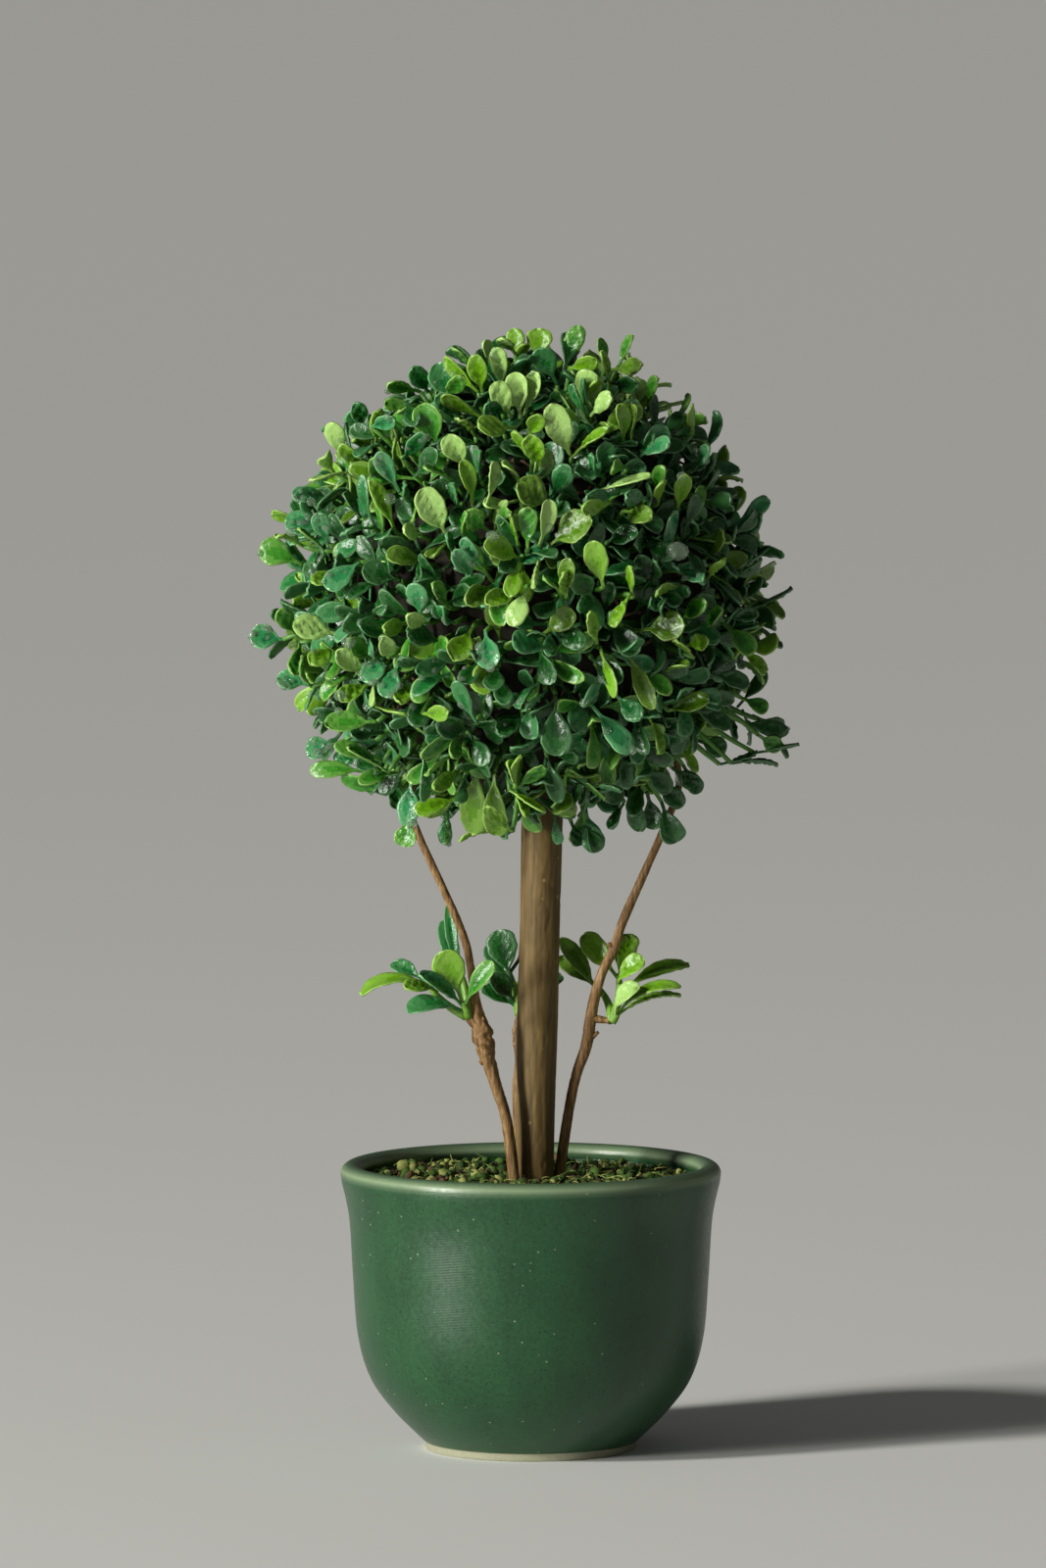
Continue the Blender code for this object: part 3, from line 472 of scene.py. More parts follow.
        (27.4, -33.2, 31.8, -36.6, 3.6), (25.4, -39.6, 28.2, -47.2, 4.8), (21.4, -35.6, 19.8, -42.4, 3),
        (29.4, -32.6, 32.6, -38, 3.4), (18.4, -39.8, 15.6, -44.8, 2.6), (8.4, -43.4, 9.8, -48, 2.2),
        (40.6, -24.6, 49.4, -26.4, 3.4), (36.4, -32.6, 43.6, -30.2, 1.8), (43, -30.4, 51.4, -28.8, 1.5),
        (38.6, -32.4, 47.4, -32.8, 1.5), (-25.6, -35, -24, -41, 3), (-27.4, -34.6, -29.6, -38.2, 3),
        (31, -22, 38.4, -25.4, 3.6), (33.6, -15.6, 41.6, -17.6, 3.6), (6, -1.6, 2, -5.4, 4.2),
        (12.5, -2.2, 9, 2.5, 4.4), (-23.4, 1.4, -30.5, 3.6, 5), (21, -24, 22.4, -30.8, 2.8),
        (5.4, -19.6, 5.8, -31, 6), (-0.6, -24, -5.4, -26.9, 3.6), (-9, -13.6, -11.6, -17.9, 3.8),
        (-5.2, -14.6, -6.4, -19, 4.2), (-8, -24.4, -11.4, -19.2, 3.6), (-15.6, -10, -22.2, -8, 4.8),
        (-31, 13.4, -34.2, 17.8, 2.6), (16, 39, 21, 38.4, 2.6), (11, -44, 13.4, -49, 3),
        (12, -13, 17.6, -17.4, 4.4), (6, -7, 10.4, -11, 4.2), (22, 8, 27.6, 6, 4.4),
        (15, 8.6, 20.6, 10.4, 4), (-20.8, 20.8, -16.4, 25.4, 4.6), (-22.6, 35, -20.4, 30.4, 3.4),
        (22, -33, 27, -37.6, 4), (32, -28, 37.6, -30, 4), (-25, -31, -32, -33, 3.4),
        (-22.6, -33.6, -27.6, -37.8, 3.2),
    ),
}
# How far their tips stand from the ball's centre by green, and all their feet, in millimetres
FRONT_RADIUS = {
    "lime": 49.1, "pale": 49.2, "olive": 48.6, "mid": 48.6, "blue": 48.0, "waxy": 49.0, "deep": 47.0
}
FRONT_FOOT = 41.0

# The least length and breadth of such a leaf in millimetres, how much longer it is than it looks, how it
# faces to the side, up and towards the viewer, and the steps forward that keep it off a stem
FRONT_SHORTEST = 8.4
FRONT_NARROWEST = 3.4
FRONT_SLOPE = 1.08
FRONT_FACE = (-0.25, 0.35, 1.0)
FRONT_STEPS = range(0, 14, 2)

# Ranges of stalk, bend in degrees with the commonest last, cup and twist
FRONT_HABIT = ((0.10, 0.20), (-20, 55, 15), (-0.05, 0.45), (-0.5, 0.5))
BALL_HABIT = ((0.20, 0.36), (-25, 75, 20), (-0.1, 0.55), (-0.7, 0.7))

# How far another leaf keeps to the side of one of them, and behind it
FRONT_CLEAR = 0.0021
FRONT_BEHIND = 0.0010

# Water drops: how many, their radii in millimetres as least, commonest and most, how far they stretch
# along the blade, how flat they are, and how wet the left and the right half of the ball are. A drop's
# rings go from under the blade to its top, in half turns from its widest ring, and the last is closed from
# a share of its radius.
FRONT_DROPS = 200
BACK_DROPS = 80
DROP_RADII = (0.25, 0.45, 1.1)
DROP_STRETCH = (0.85, 1.30)
DROP_FLATNESS = (0.45, 0.7)
WET_SIDES = (1.6, 0.6)
DROP_RINGS, DROP_AROUND = 6, 12
DROP_SPAN = (-0.25, 0.5)
DROP_TOP = 0.04

# The drops that stand out: to the side, up and radius in millimetres
LARGE_DROPS = (
    (30.1, 8.9, 1.8), (-24.4, 16.8, 1.2), (-35.4, -20.0, 1.1), (-35.6, -21.8, 0.8), (-32.0, -9.4, 1.1),
    (6.4, 21.8, 0.9), (-6.0, 10.6, 1.0), (-4.8, 11.0, 0.8), (28.4, 22.0, 0.9), (12.6, -16.9, 0.7),
    (-39.0, -29.4, 1.1), (-37.6, -28.4, 0.8), (16.0, -26.0, 0.8), (-44.6, 11.2, 0.9), (-39.5, 17.2, 0.9),
)

# The camera's height over the horizon, and the view's ways to the side, up and towards the viewer
VIEW_RISE = math.radians(4.8)
VIEW = np.array(
    (
        (1.0, 0.0, 0.0),
        (0.0, math.sin(VIEW_RISE), math.cos(VIEW_RISE)),
        (0.0, -math.cos(VIEW_RISE), math.sin(VIEW_RISE)),
    )
)

# The studio: where the camera and the lamps point, the floor, the sun, and a soft box that stands on the
# floor, low enough to show as a streak in the glaze
AIM = (-0.00148, 0.0, 0.1262)
FLOOR_REACH = 30.0
LAMP_DISTANCE = 1.5
LAMP_COLOUR = (1.0, 0.985, 0.95)
SUN_WAY = (-0.76, -0.44, 0.48)
SUN_STRENGTH = 2.1
SUN_SPREAD = math.radians(7.0)
BOX_WAY = (-0.81, -0.58, 0.085)
BOX_SIZE = (0.16, 0.50)
BOX_WATTS = 18.0
AIR_COLOUR = (0.86, 0.86, 0.84, 1.0)
AIR_STRENGTH = 0.09


def linear(code):
    """An sRGB hex colour as linear red, green and blue."""
    shares = [int(code[i : i + 2], 16) / 255 for i in (1, 3, 5)]
    return tuple(c / 12.92 if c <= 0.04045 else ((c + 0.055) / 1.055) ** 2.4 for c in shares)


def colour_property(name, description, code):
    return FloatVectorProperty(
        name=name, description=description, subtype="COLOR", size=3, min=0.0, max=1.0, default=linear(code)
    )


def length_property(name, description, value):
    return FloatProperty(
        name=name, description=description, unit="LENGTH", min=0.0, default=value, precision=5
    )


def count_property(name, description, value):
    return IntProperty(name=name, description=description, min=0, default=value)


class PotProperties(bpy.types.PropertyGroup):
    """Sizes and colours of the glazed pot"""

    height: length_property("Height", "From the foot to the top of the lip", 0.0543)
    wall: length_property("Wall", "Thickness of the side", 0.0035)
    floor: length_property("Floor", "Thickness of the base", 0.0050)
    foot_radius: length_property("Foot radius", "Outer radius of the bare foot", 0.0203)
    lip_radius: length_property("Lip radius", "Outer radius of the lip", 0.0360)
    lip_width: length_property("Lip width", "Breadth of the rounded lip", 0.0041)
    lip_rise: length_property("Lip rise", "How far the lip's top stands over its sides", 0.0019)
    glaze: colour_property("Glaze", "Glaze where it is thick", "#1b4726")
    thin_glaze: colour_property("Thin glaze", "Glaze where it breaks over an edge", "#98ab86")
    speck: colour_property("Specks", "Pale specks in the glaze", "#b7bf9f")
    clay: colour_property("Clay", "Bare fired clay of the foot", "#9c9c82")


class FillProperties(bpy.types.PropertyGroup):
    """Sizes and colours of the moss in the pot"""

    crumbs: count_property("Crumbs", "Lumps of moss", 900)
    fibres: count_property("Fibres", "Loose strands of moss", 1250)
    chips: count_property("Chips", "Chips of bark", 170)
    moss: colour_property("Moss", "Dyed moss", "#4b6a26")
    yellow_moss: colour_property("Yellow moss", "Paler strands of moss", "#9aa058")
    bark_chip: colour_property("Bark chips", "Chips of bark in the moss", "#5f4c2e")
    # The bed's dark colour is painted shade between the bits of moss on it
    bed: colour_property("Bed", "The shaded bed under the moss", "#2e3318")


class BarkProperties(bpy.types.PropertyGroup):
    """Colours of the trunk and the stems"""

    wood: colour_property("Wood", "Weathered wood of the trunk", "#6c5629")
    wood_shade: colour_property("Wood shade", "Dark streaks in the trunk", "#3f3013")
    wood_scrape: colour_property("Wood scrapes", "Pale scrapes on the trunk", "#947e44")
    bark: colour_property("Bark", "Bark of the thin stems", "#8a6636")
    bark_shade: colour_property("Bark shade", "Dark bark of the thin stems", "#503a1a")


class LeafProperties(bpy.types.PropertyGroup):
    """Sizes and greens of the moulded leaves"""

    length_least: length_property("Shortest leaf", "Length of the shortest leaf", 0.0088)
    length_most: length_property("Longest leaf", "Length of the longest leaf", 0.0124)
    width_least: length_property("Narrowest leaf", "Width of the narrowest leaf", 0.0027)
    width_most: length_property("Widest leaf", "Width of the widest leaf", 0.0049)
    thickness: length_property("Thickness", "Thickness of a blade", 0.00055)
    fine_sprigs: count_property("Fine sprigs", "Sprigs added between the main ones", 200)
    leaves: count_property("Leaves", "Leaves on each sprig", 6)
    deep: colour_property("Deep green", "Darkest leaves", "#154d16")
    blue: colour_property("Blue green", "Bluish leaves", "#1b682c")
    mid: colour_property("Mid green", "Middle green leaves", "#3a8222")
    olive: colour_property("Olive green", "Warm middle green leaves", "#4a7409")
    lime: colour_property("Lime green", "Young leaves", "#639812")
    pale: colour_property("Pale lime", "Palest leaves", "#9cc46c")
    waxy: colour_property("Waxy green", "Bluish leaves with a pale bloom", "#2e8049")
    # Edge colours: paler where the blade is thin, and partly painted highlight along the rim
    warm_edge: colour_property("Warm edge", "Thin edges of the warm greens", "#b8da78")
    cool_edge: colour_property("Cool edge", "Thin edges of the cool greens", "#98cc94")
    # The core's brown is painted near black as the shade between the leaves
    core: colour_property("Core", "Brown core of the ball", "#241f15")
    dead_twig: colour_property("Dead twigs", "Dry twig ends on the core", "#6b5344")
    # The drops' pale green is painted reflection of the leaves round them
    water: colour_property("Water", "Drops, tinted by the leaves round them", "#d2e2ce")


class StudioProperties(bpy.types.PropertyGroup):
    """Camera, lights and floor"""

    elevation: FloatProperty(
        name="Elevation", description="Camera's height over the horizon", subtype="ANGLE", default=VIEW_RISE
    )
    distance: length_property("Distance", "From the camera to the plant", 2.2)
    lens: FloatProperty(name="Lens", description="Focal length in millimetres", default=267.6)
    floor: colour_property("Floor", "Plain pale floor", "#ecece8")


def sizes(kind):
    """A property group of the scene."""
    return getattr(bpy.context.scene, "topiary_" + kind)


def rgba(colour, shade=1.0, towards=None, share=0.0):
    """A colour with its alpha, darkened by a factor or mixed towards another."""
    mixed = [c * shade for c in colour]
    if towards is not None:
        mixed = [c + (t - c) * share for c, t in zip(mixed, towards)]
    return (*mixed, 1.0)


def add_node(tree, kind, values=None, **settings):
    """Adds a node, sets its settings, and gives its inputs values or links."""
    made = tree.nodes.new(kind)
    for setting, value in settings.items():
        setattr(made, setting, value)
    for socket, value in (values or {}).items():
        if isinstance(value, bpy.types.NodeSocket):
            tree.links.new(value, made.inputs[socket])
        else:
            made.inputs[socket].default_value = value
    return made


def new_material(name, **values):
    """A Principled material with these values on its shader, and its shader and tree."""
    material = bpy.data.materials.new(name)
    material.use_nodes = True
    tree = material.node_tree
    shader = tree.nodes["Principled BSDF"]
    for socket, value in values.items():
        shader.inputs[socket.replace("_", " ")].default_value = value
    return material, tree, shader


def set_stops(ramp, stops):
    """Gives a colour ramp its stops, each a position and a colour, from the lowest to the highest."""
    elements = ramp.color_ramp.elements
    elements[0].position, elements[0].color = stops[0]
    elements[1].position, elements[1].color = stops[-1]
    for position, colour in stops[1:-1]:
        elements.new(position).color = colour


def add_specks(tree, place, colour, speck, cell, edge, spare, amount):
    """A colour with specks of another over it, each in its own cell of a size in millimetres. The edge is
    where a speck ends and where it is full, and it is left out of the share of cells to spare."""
    spots = add_node(tree, "ShaderNodeTexVoronoi", {"Vector": place, "Scale": 1 / (cell * MM)})
    inside = {"Value": spots.outputs["Distance"], "From Min": edge[0], "From Max": edge[1]}
    shape = add_node(tree, "ShaderNodeMapRange", inside).outputs["Result"]
    chosen = add_node(tree, "ShaderNodeSeparateColor", {"Color": spots.outputs["Color"]}).outputs["Red"]
    few = add_node(tree, "ShaderNodeMath", {0: chosen, 1: spare}, operation="GREATER_THAN").outputs[0]
    some = add_node(tree, "ShaderNodeMath", {0: few, 1: amount}, operation="MULTIPLY").outputs[0]
    shown = add_node(tree, "ShaderNodeMath", {0: shape, 1: some}, operation="MULTIPLY").outputs[0]
    specked = add_node(tree, "ShaderNodeMix", {"Factor": shown, "A": colour}, data_type="RGBA")
    specked.inputs["B"].default_value = speck
    return specked.outputs["Result"]


def plain_material(name, colour, roughness, ior=1.45):
    """A material of one colour all over."""
    material, _, _ = new_material(name, Base_Color=rgba(colour), Roughness=roughness, IOR=ior)
    return material


def blotched_material(name, colour, shades, blotch, detail, roughness, ior=1.45):
    """A material that wanders between two shades of its colour in blotches of a size in millimetres."""
    material, tree, shader = new_material(name, Roughness=roughness, IOR=ior)
    place = add_node(tree, "ShaderNodeTexCoord").outputs["Object"]
    noisy = {"Vector": place, "Scale": 1 / (blotch * MM), "Detail": detail}
    patches = add_node(tree, "ShaderNodeTexNoise", noisy)
    mix = add_node(tree, "ShaderNodeMix", {"Factor": patches.outputs["Fac"]}, data_type="RGBA")
    mix.inputs["A"].default_value = rgba(colour, shades[0])
    mix.inputs["B"].default_value = rgba(colour, shades[1])
    tree.links.new(mix.outputs["Result"], shader.inputs["Base Color"])
    return material


def shells(rings):
    """Closed shells from an array of shells, rings, points round each ring and x, y, z."""
    count, rows, around, _ = rings.shape
    ends = rings[:, [0, -1]].mean(2)
    points = np.concatenate([rings.reshape(count, rows * around, 3), ends], 1)
    here = np.arange(rows * around).reshape(rows, around)
    following = np.roll(here, -1, 1)
    quads = np.stack([here[:-1], following[:-1], following[1:], here[1:]], -1).reshape(-1, 4)
    first = np.full(around, rows * around)
    start = np.stack([following[0], here[0], first], -1)
    end = np.stack([here[-1], following[-1], first + 1], -1)
    offset = np.arange(count)[:, None, None] * (rows * around + 2)
    triangles = np.concatenate([start, end])
    return points.reshape(-1, 3), (quads + offset).reshape(-1, 4), (triangles + offset).reshape(-1, 3)


def add_mesh(name, points, quads, triangles, materials, quad_slots=0, triangle_slots=0):
    """An object from arrays of points and faces, with a material slot for each face."""
    mesh = bpy.data.meshes.new(name)
    mesh.vertices.add(len(points))
    mesh.vertices.foreach_set("co", np.ascontiguousarray(points, np.float32).ravel())
    corners = np.concatenate([quads.ravel(), triangles.ravel()]).astype(np.int32)
    mesh.loops.add(len(corners))
    mesh.loops.foreach_set("vertex_index", corners)
    starts = np.concatenate([np.arange(len(quads)) * 4, len(quads) * 4 + np.arange(len(triangles)) * 3])
    mesh.polygons.add(len(starts))
    mesh.polygons.foreach_set("loop_start", starts.astype(np.int32))
    slots = np.zeros(len(starts), np.int32)
    slots[: len(quads)] = quad_slots
    slots[len(quads) :] = triangle_slots
    mesh.polygons.foreach_set("material_index", slots)
    mesh.polygons.foreach_set("use_smooth", np.ones(len(starts), bool))
    mesh.update(calc_edges=True)
    mesh.validate()
    for material in materials:
        mesh.materials.append(material)
    made = bpy.data.objects.new(name, mesh)
    bpy.context.scene.collection.objects.link(made)
    return made


def settle(piece, node, slot):
    """The piece rides with the plant and stands for its solid."""
    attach(piece, "root")
    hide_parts(node)


def unit(vectors):
    return vectors / np.linalg.norm(vectors, axis=-1, keepdims=True)


def smooth_course(points, steps):
    """A Catmull-Rom curve through points of any dimension, with steps to each stretch."""
    course = []
    for i in range(len(points) - 1):
        before = points[max(i - 1, 0)]
        start = points[i]
        end = points[i + 1]
        after = points[min(i + 2, len(points) - 1)]
        for step in range(steps):
            t = step / steps
            values = []
            for a, b, c, d in zip(before, start, end, after):
                bend = 2 * a - 5 * b + 4 * c - d
                twist = 3 * b - a - 3 * c + d
                values.append(0.5 * (2 * b + (c - a) * t + bend * t**2 + twist * t**3))
            course.append(tuple(values))
    course.append(tuple(points[-1]))
    return np.array(course)


def limb_segments():
    """Starts, ends and radii of every stretch of the limbs."""
    courses = [smooth_course(points, 2) for points in LIMBS]
    starts = np.concatenate([course[:-1] for course in courses])
    ends = np.concatenate([course[1:] for course in courses])
    return starts[:, :3], ends[:, :3], np.maximum(starts[:, 3], ends[:, 3])


def room_to_limbs(places, segments):
    """How far the nearest of some places is from the skin of a limb."""
    starts, ends, radii = segments
    runs = ends - starts
    spans = places[:, None] - starts
    shares = np.clip((spans * runs).sum(-1) / (runs * runs).sum(-1), 0.0, 1.0)
    return (np.linalg.norm(spans - shares[..., None] * runs, axis=-1) - radii).min()


def ring_frames(course):
    """Two directions square to a course at each of its points, without twist."""
    ahead = unit(np.gradient(course[:, :3], axis=0))
    side = np.cross(ahead[0], (0.0, 1.0, 0.0))
    sides = []
    for direction in ahead:
        side = side - direction * side.dot(direction)
        side /= np.linalg.norm(side)
        sides.append(side.copy())
    sides = np.array(sides)
    return sides, np.cross(ahead, sides)


def tube_rings(course, around, relief=None):
    """Rings round a course of x, y, z and radius. The relief adds to the radius."""
    sides, ups = ring_frames(course)
    angles = np.arange(around) * math.tau / around
    outward = sides[:, None] * np.cos(angles)[:, None] + ups[:, None] * np.sin(angles)[:, None]
    radius = course[:, 3, None] + (0.0 if relief is None else relief)
    return course[:, None, :3] + outward * radius[..., None]


def bent_twigs(roots, tips, start_radius, end_radius, sway, rows, around, rng):
    """Rings of many tapering twigs, each with a slight bend."""
    count = len(roots)
    share = np.linspace(0.0, 1.0, rows)[None, :, None]
    ahead = unit(tips - roots)
    side = unit(np.cross(ahead, unit(rng.normal(size=(count, 3)))))
    up = np.cross(ahead, side)
    length = np.linalg.norm(tips - roots, axis=-1)[:, None, None]
    middle = roots[:, None] + (tips - roots)[:, None] * share
    middle = middle + side[:, None] * np.sin(share * math.pi) * length * sway
    angles = np.arange(around) * math.tau / around
    outward = side[:, None, None] * np.cos(angles)[:, None] + up[:, None, None] * np.sin(angles)[:, None]
    radius = start_radius + (end_radius - start_radius) * share[..., None]
    return middle[:, :, None] + outward * radius


# Points across a leaf, on top and underneath, and rows along it: its stalk, up to its widest place, and
# on to its tip
FINE_GRID = {"top": 13, "under": 6, "stalk": 3, "rise": 8, "end": 8}
MAIN_GRID = {"top": 9, "under": 4, "stalk": 2, "rise": 6, "end": 6}
INNER_GRID = {"top": 5, "under": 3, "stalk": 1, "rise": 4, "end": 4}
TIP_SHARE = 0.985

# A blade's outline: how far up it is widest, the powers by which its sides rise to there and close over
# its tip, how far its edges wander as a share of its breadth, and half the width of its stalk
BELLY = (0.52, 0.70)
RISE_POWER = (0.75, 1.45)
END_POWER = (1.9, 2.9)
EDGE_WANDER = 0.035
PETIOLE = 0.00036

# Its moulded skin, in millimetres: the lengths and heights of the lumps' waves, a sunk rib, and the grain
# of the embossing
LUMP_WAVES = (1.3, 2.3)
LUMP_HEIGHTS = (0.05, 0.20, 0.40)
RIB_WIDTH = 0.35
RIB_DEPTH = 0.14
SKIN_GRAIN = 0.9

# Its tones. The heart has a middle up the blade and a size across and along it, and lumps make its edge
# ragged. The blade's own tone goes on past it by BLADE_PAST, and the rim starts at RIM_SHARE.
RIM, LIGHT, BLADE, HEART, STALK = range(5)
HEART_MIDDLE = 0.42
HEART_SIZE = (0.85, 0.6)
HEART_RAGGED = 0.12
BLADE_PAST = 0.45
RIM_SHARE = 0.85


def grid_across(grid):
    """Places across a leaf, from 1 at one edge to -1 at the other and back underneath, with 1 for each on
    top and -1 for each underneath. Those on top are closer together at the edges."""
    even = np.linspace(1.0, -1.0, grid["top"])
    top = np.sign(even) * np.abs(even) ** 0.6
    under = np.linspace(-0.85, 0.85, grid["under"])
    return np.concatenate([top, under]), np.concatenate([np.ones(len(top)), -np.ones(len(under))])


def leaf_rings(leaves, grid, thickness, rng):
    """Rings of many spoon-shaped leaves with a bumpy moulded blade, and a tone for each of their quads.
    Leaves is a dict of arrays: root, tip, face, width, stalk, bend, cup, twist and heart."""
    root, tip = leaves["root"], leaves["tip"]
    count = len(root)
    length = np.linalg.norm(tip - root, axis=-1)[:, None]
    ahead = unit(tip - root)
    aside = unit(np.cross(leaves["face"], ahead))
    above = np.cross(ahead, aside)
    across, upper = grid_across(grid)

    stalk = leaves["stalk"][:, None]
    belly = rng.uniform(*BELLY, (count, 1))
    rise = np.arange(grid["rise"]) / grid["rise"] * belly
    end = belly + (1 - belly) * np.sin(np.arange(grid["end"]) / (grid["end"] - 1) * math.pi / 2)
    end[:, -1] = belly[:, 0] + (1 - belly[:, 0]) * TIP_SHARE
    blade = np.concatenate([rise, end], 1)
    foot = np.arange(grid["stalk"]) / grid["stalk"] * stalk
    along = np.concatenate([foot, stalk + (1 - stalk) * blade], 1)

    half = leaves["width"][:, None] / 2
    rising = np.sin(np.clip(blade / belly, 0, 1) * math.pi / 2) ** rng.uniform(*RISE_POWER, (count, 1))
    past = np.maximum(blade - belly, 0) / (1 - belly)
    closing = np.clip(1 - past ** rng.uniform(*END_POWER, (count, 1)), 0, 1) ** 0.5
    fill = np.where(blade < belly, rising, closing)
    floor = PETIOLE * np.clip((1 - blade) * 6, 0.05, 1)
    breadth = np.maximum(half * fill, floor)
    breadth = np.concatenate([np.full((count, grid["stalk"]), PETIOLE), breadth], 1)

    bend = leaves["bend"][:, None] * along**1.4
    step = np.diff(along, axis=1)
    middle = (bend[:, 1:] + bend[:, :-1]) / 2
    forward = np.concatenate([np.zeros((count, 1)), np.cumsum(np.cos(middle) * step, 1)], 1)
    down = np.concatenate([np.zeros((count, 1)), np.cumsum(np.sin(middle) * step, 1)], 1)
    reach = np.hypot(forward[:, -1:], down[:, -1:])
    tilt = np.arctan2(down[:, -1:], forward[:, -1:])
    size = length / reach
    x = (forward * np.cos(tilt) + down * np.sin(tilt)) * size
    z = (forward * np.sin(tilt) - down * np.cos(tilt)) * size
    lean = bend - tilt

    place = (along * length)[..., None]
    in_blade = np.clip((along - stalk) / 0.12, 0, 1)[..., None]
    phase = rng.uniform(0, math.tau, (4, count, 1, 1))
    wave = math.tau / (rng.uniform(*LUMP_WAVES, (4, count, 1, 1)) * MM)
    edge_wave = np.sin(place * wave[3] * 0.7 + phase[3] + np.sign(across) * phase[0])
    y = across * breadth[..., None] * (1 + EDGE_WANDER * edge_wave * in_blade)
    lumps = np.sin(place * wave[0] + phase[0]) * np.cos(y * wave[1] + phase[1])
    lumps = lumps + 0.6 * np.sin((place - y) * wave[2] + phase[2])
    lumps = lumps * in_blade * (1 - across**4)
    rib = np.exp(-((y / (RIB_WIDTH * MM)) ** 2)) * in_blade * np.clip((0.93 - along) * 5, 0, 1)[..., None]
    bumps = rng.triangular(*LUMP_HEIGHTS, (count, 1, 1)) * MM
    thick = np.minimum(thickness, breadth * 1.3)[..., None]
    cup = leaves["cup"][:, None, None] * breadth[..., None] * np.abs(across) ** 1.7 * in_blade
    skin = thick / 2 * np.sqrt(1 - across**4) * upper
    height = cup + skin + lumps * bumps - rib * RIB_DEPTH * MM * (upper > 0)

    twist = leaves["twist"][:, None] * (along - 0.4)
    turned = y * np.cos(twist)[..., None] - height * np.sin(twist)[..., None]
    raised = y * np.sin(twist)[..., None] + height * np.cos(twist)[..., None]
    local_x = x[..., None] + raised * np.sin(lean)[..., None]
    local_z = z[..., None] + raised * np.cos(lean)[..., None]
    rings = (
        root[:, None, None]
        + ahead[:, None, None] * local_x[..., None]
        + aside[:, None, None] * turned[..., None]
        + above[:, None, None] * local_z[..., None]
    )

    # From the middle out: a darker heart, the blade, a lighter border and a pale rim that is partly painted
    # highlight
    v = np.abs((across + np.roll(across, -1)) / 2)[None, None]
    full = np.concatenate([np.zeros((count, grid["stalk"])), blade], 1)
    full = ((full[:, 1:] + full[:, :-1]) / 2)[..., None]
    level = (lumps[:, 1:] + lumps[:, :-1]) / 2
    wide, long = HEART_SIZE
    out = np.hypot(v / wide, (full - HEART_MIDDLE) / long) - HEART_RAGGED * level
    out = out - leaves["heart"][:, None, None]
    tones = np.select([out < 0, out < BLADE_PAST], [HEART, BLADE], LIGHT)
    past = (full - belly[..., None]) / (1 - belly[..., None])
    tones = np.where(np.maximum(v, past) > RIM_SHARE, RIM, tones)
    tones[:, :, grid["top"] - 1 :] = np.where(v[..., grid["top"] - 1 :] > RIM_SHARE, RIM, LIGHT)
    tones[:, : grid["stalk"]] = STALK
    return rings, tones.reshape(-1)


def leaf_materials(green):
    """Moulded polyethylene, dyed through: a soft waxy shine, with paler edges where it is thin and a painted
    highlight along each rim.
    """
    leaf = sizes("leaf")
    colour = getattr(leaf, green)
    edge = leaf.cool_edge if green in COOL_GREENS else leaf.warm_edge
    tones = (
        ("rim", rgba(colour, 1.0, edge, EDGE_SHARE[green]), 1.2),
        ("border", rgba(colour, 1.0, edge, EDGE_SHARE[green] * 0.3), 1.1),
        ("blade", rgba(colour), 1.0),
        ("heart", rgba(colour, 0.62), 1.0),
        ("stalk", rgba(colour, 0.85, edge, EDGE_SHARE[green] * 0.3), 1.5),
    )
    made = []
    for tone, shade, dulness in tones:
        name = f"moulded_polyethylene_{green}_{tone}"
        if name in bpy.data.materials:
            made.append(bpy.data.materials[name])
            continue
        material, tree, shader = new_material(
            name, Base_Color=shade, Roughness=LEAF_ROUGHNESS[green] * dulness, IOR=1.5
        )
        # An embossed skin
        place = add_node(tree, "ShaderNodeTexCoord").outputs["Object"]
        grain = {"Vector": place, "Scale": 1 / (SKIN_GRAIN * MM), "Detail": 4.0}
        grain = add_node(tree, "ShaderNodeTexNoise", grain)
        bump = {"Height": grain.outputs["Fac"], "Strength": 0.5, "Distance": 0.30 * MM}
        emboss = add_node(tree, "ShaderNodeBump", bump)
        tree.links.new(emboss.outputs["Normal"], shader.inputs["Normal"])
        made.append(material)
    return made


def add_leaves(name, leaves, green, grid, node, slot, rng):
    """One piece of leaves of one green, and their rings."""
    stacked = {key: np.array([leaf[key] for leaf in leaves]) for key in leaves[0] if key != "green"}
    rings, tones = leaf_rings(stacked, grid, sizes("leaf").thickness, rng)
    points, quads, triangles = shells(rings)
    piece = add_mesh(name, points, quads, triangles, leaf_materials(green), tones, RIM)
    settle(piece, node, slot)
    return rings


def add_green_leaves(name, leaves, grid, node, slot, rng):
    """A piece for each green among some leaves, and each one's green and rings."""
    grown = {}
    for green in sorted({leaf["green"] for leaf in leaves}):
        chosen = [leaf for leaf in leaves if leaf["green"] == green]
        grown[green] = add_leaves(f"{name}_{green}", chosen, green, grid, node, slot, rng)
    return grown


def habit_leaf(root, tip, face, width, green, habit, rng):
    """A leaf of some habit: the ranges of its stalk, bend in degrees, cup and twist, drawn in that order."""
    stalk, bend, cup, twist = habit
    return {
        "root": root,
        "tip": tip,
        "face": face,
        "width": width,
        "stalk": rng.uniform(*stalk),
        "bend": math.radians(rng.triangular(*bend)),
        "cup": rng.uniform(*cup),
        "twist": rng.uniform(*twist),
        "heart": rng.uniform(*HEARTS[green]),
        "green": green,
    }


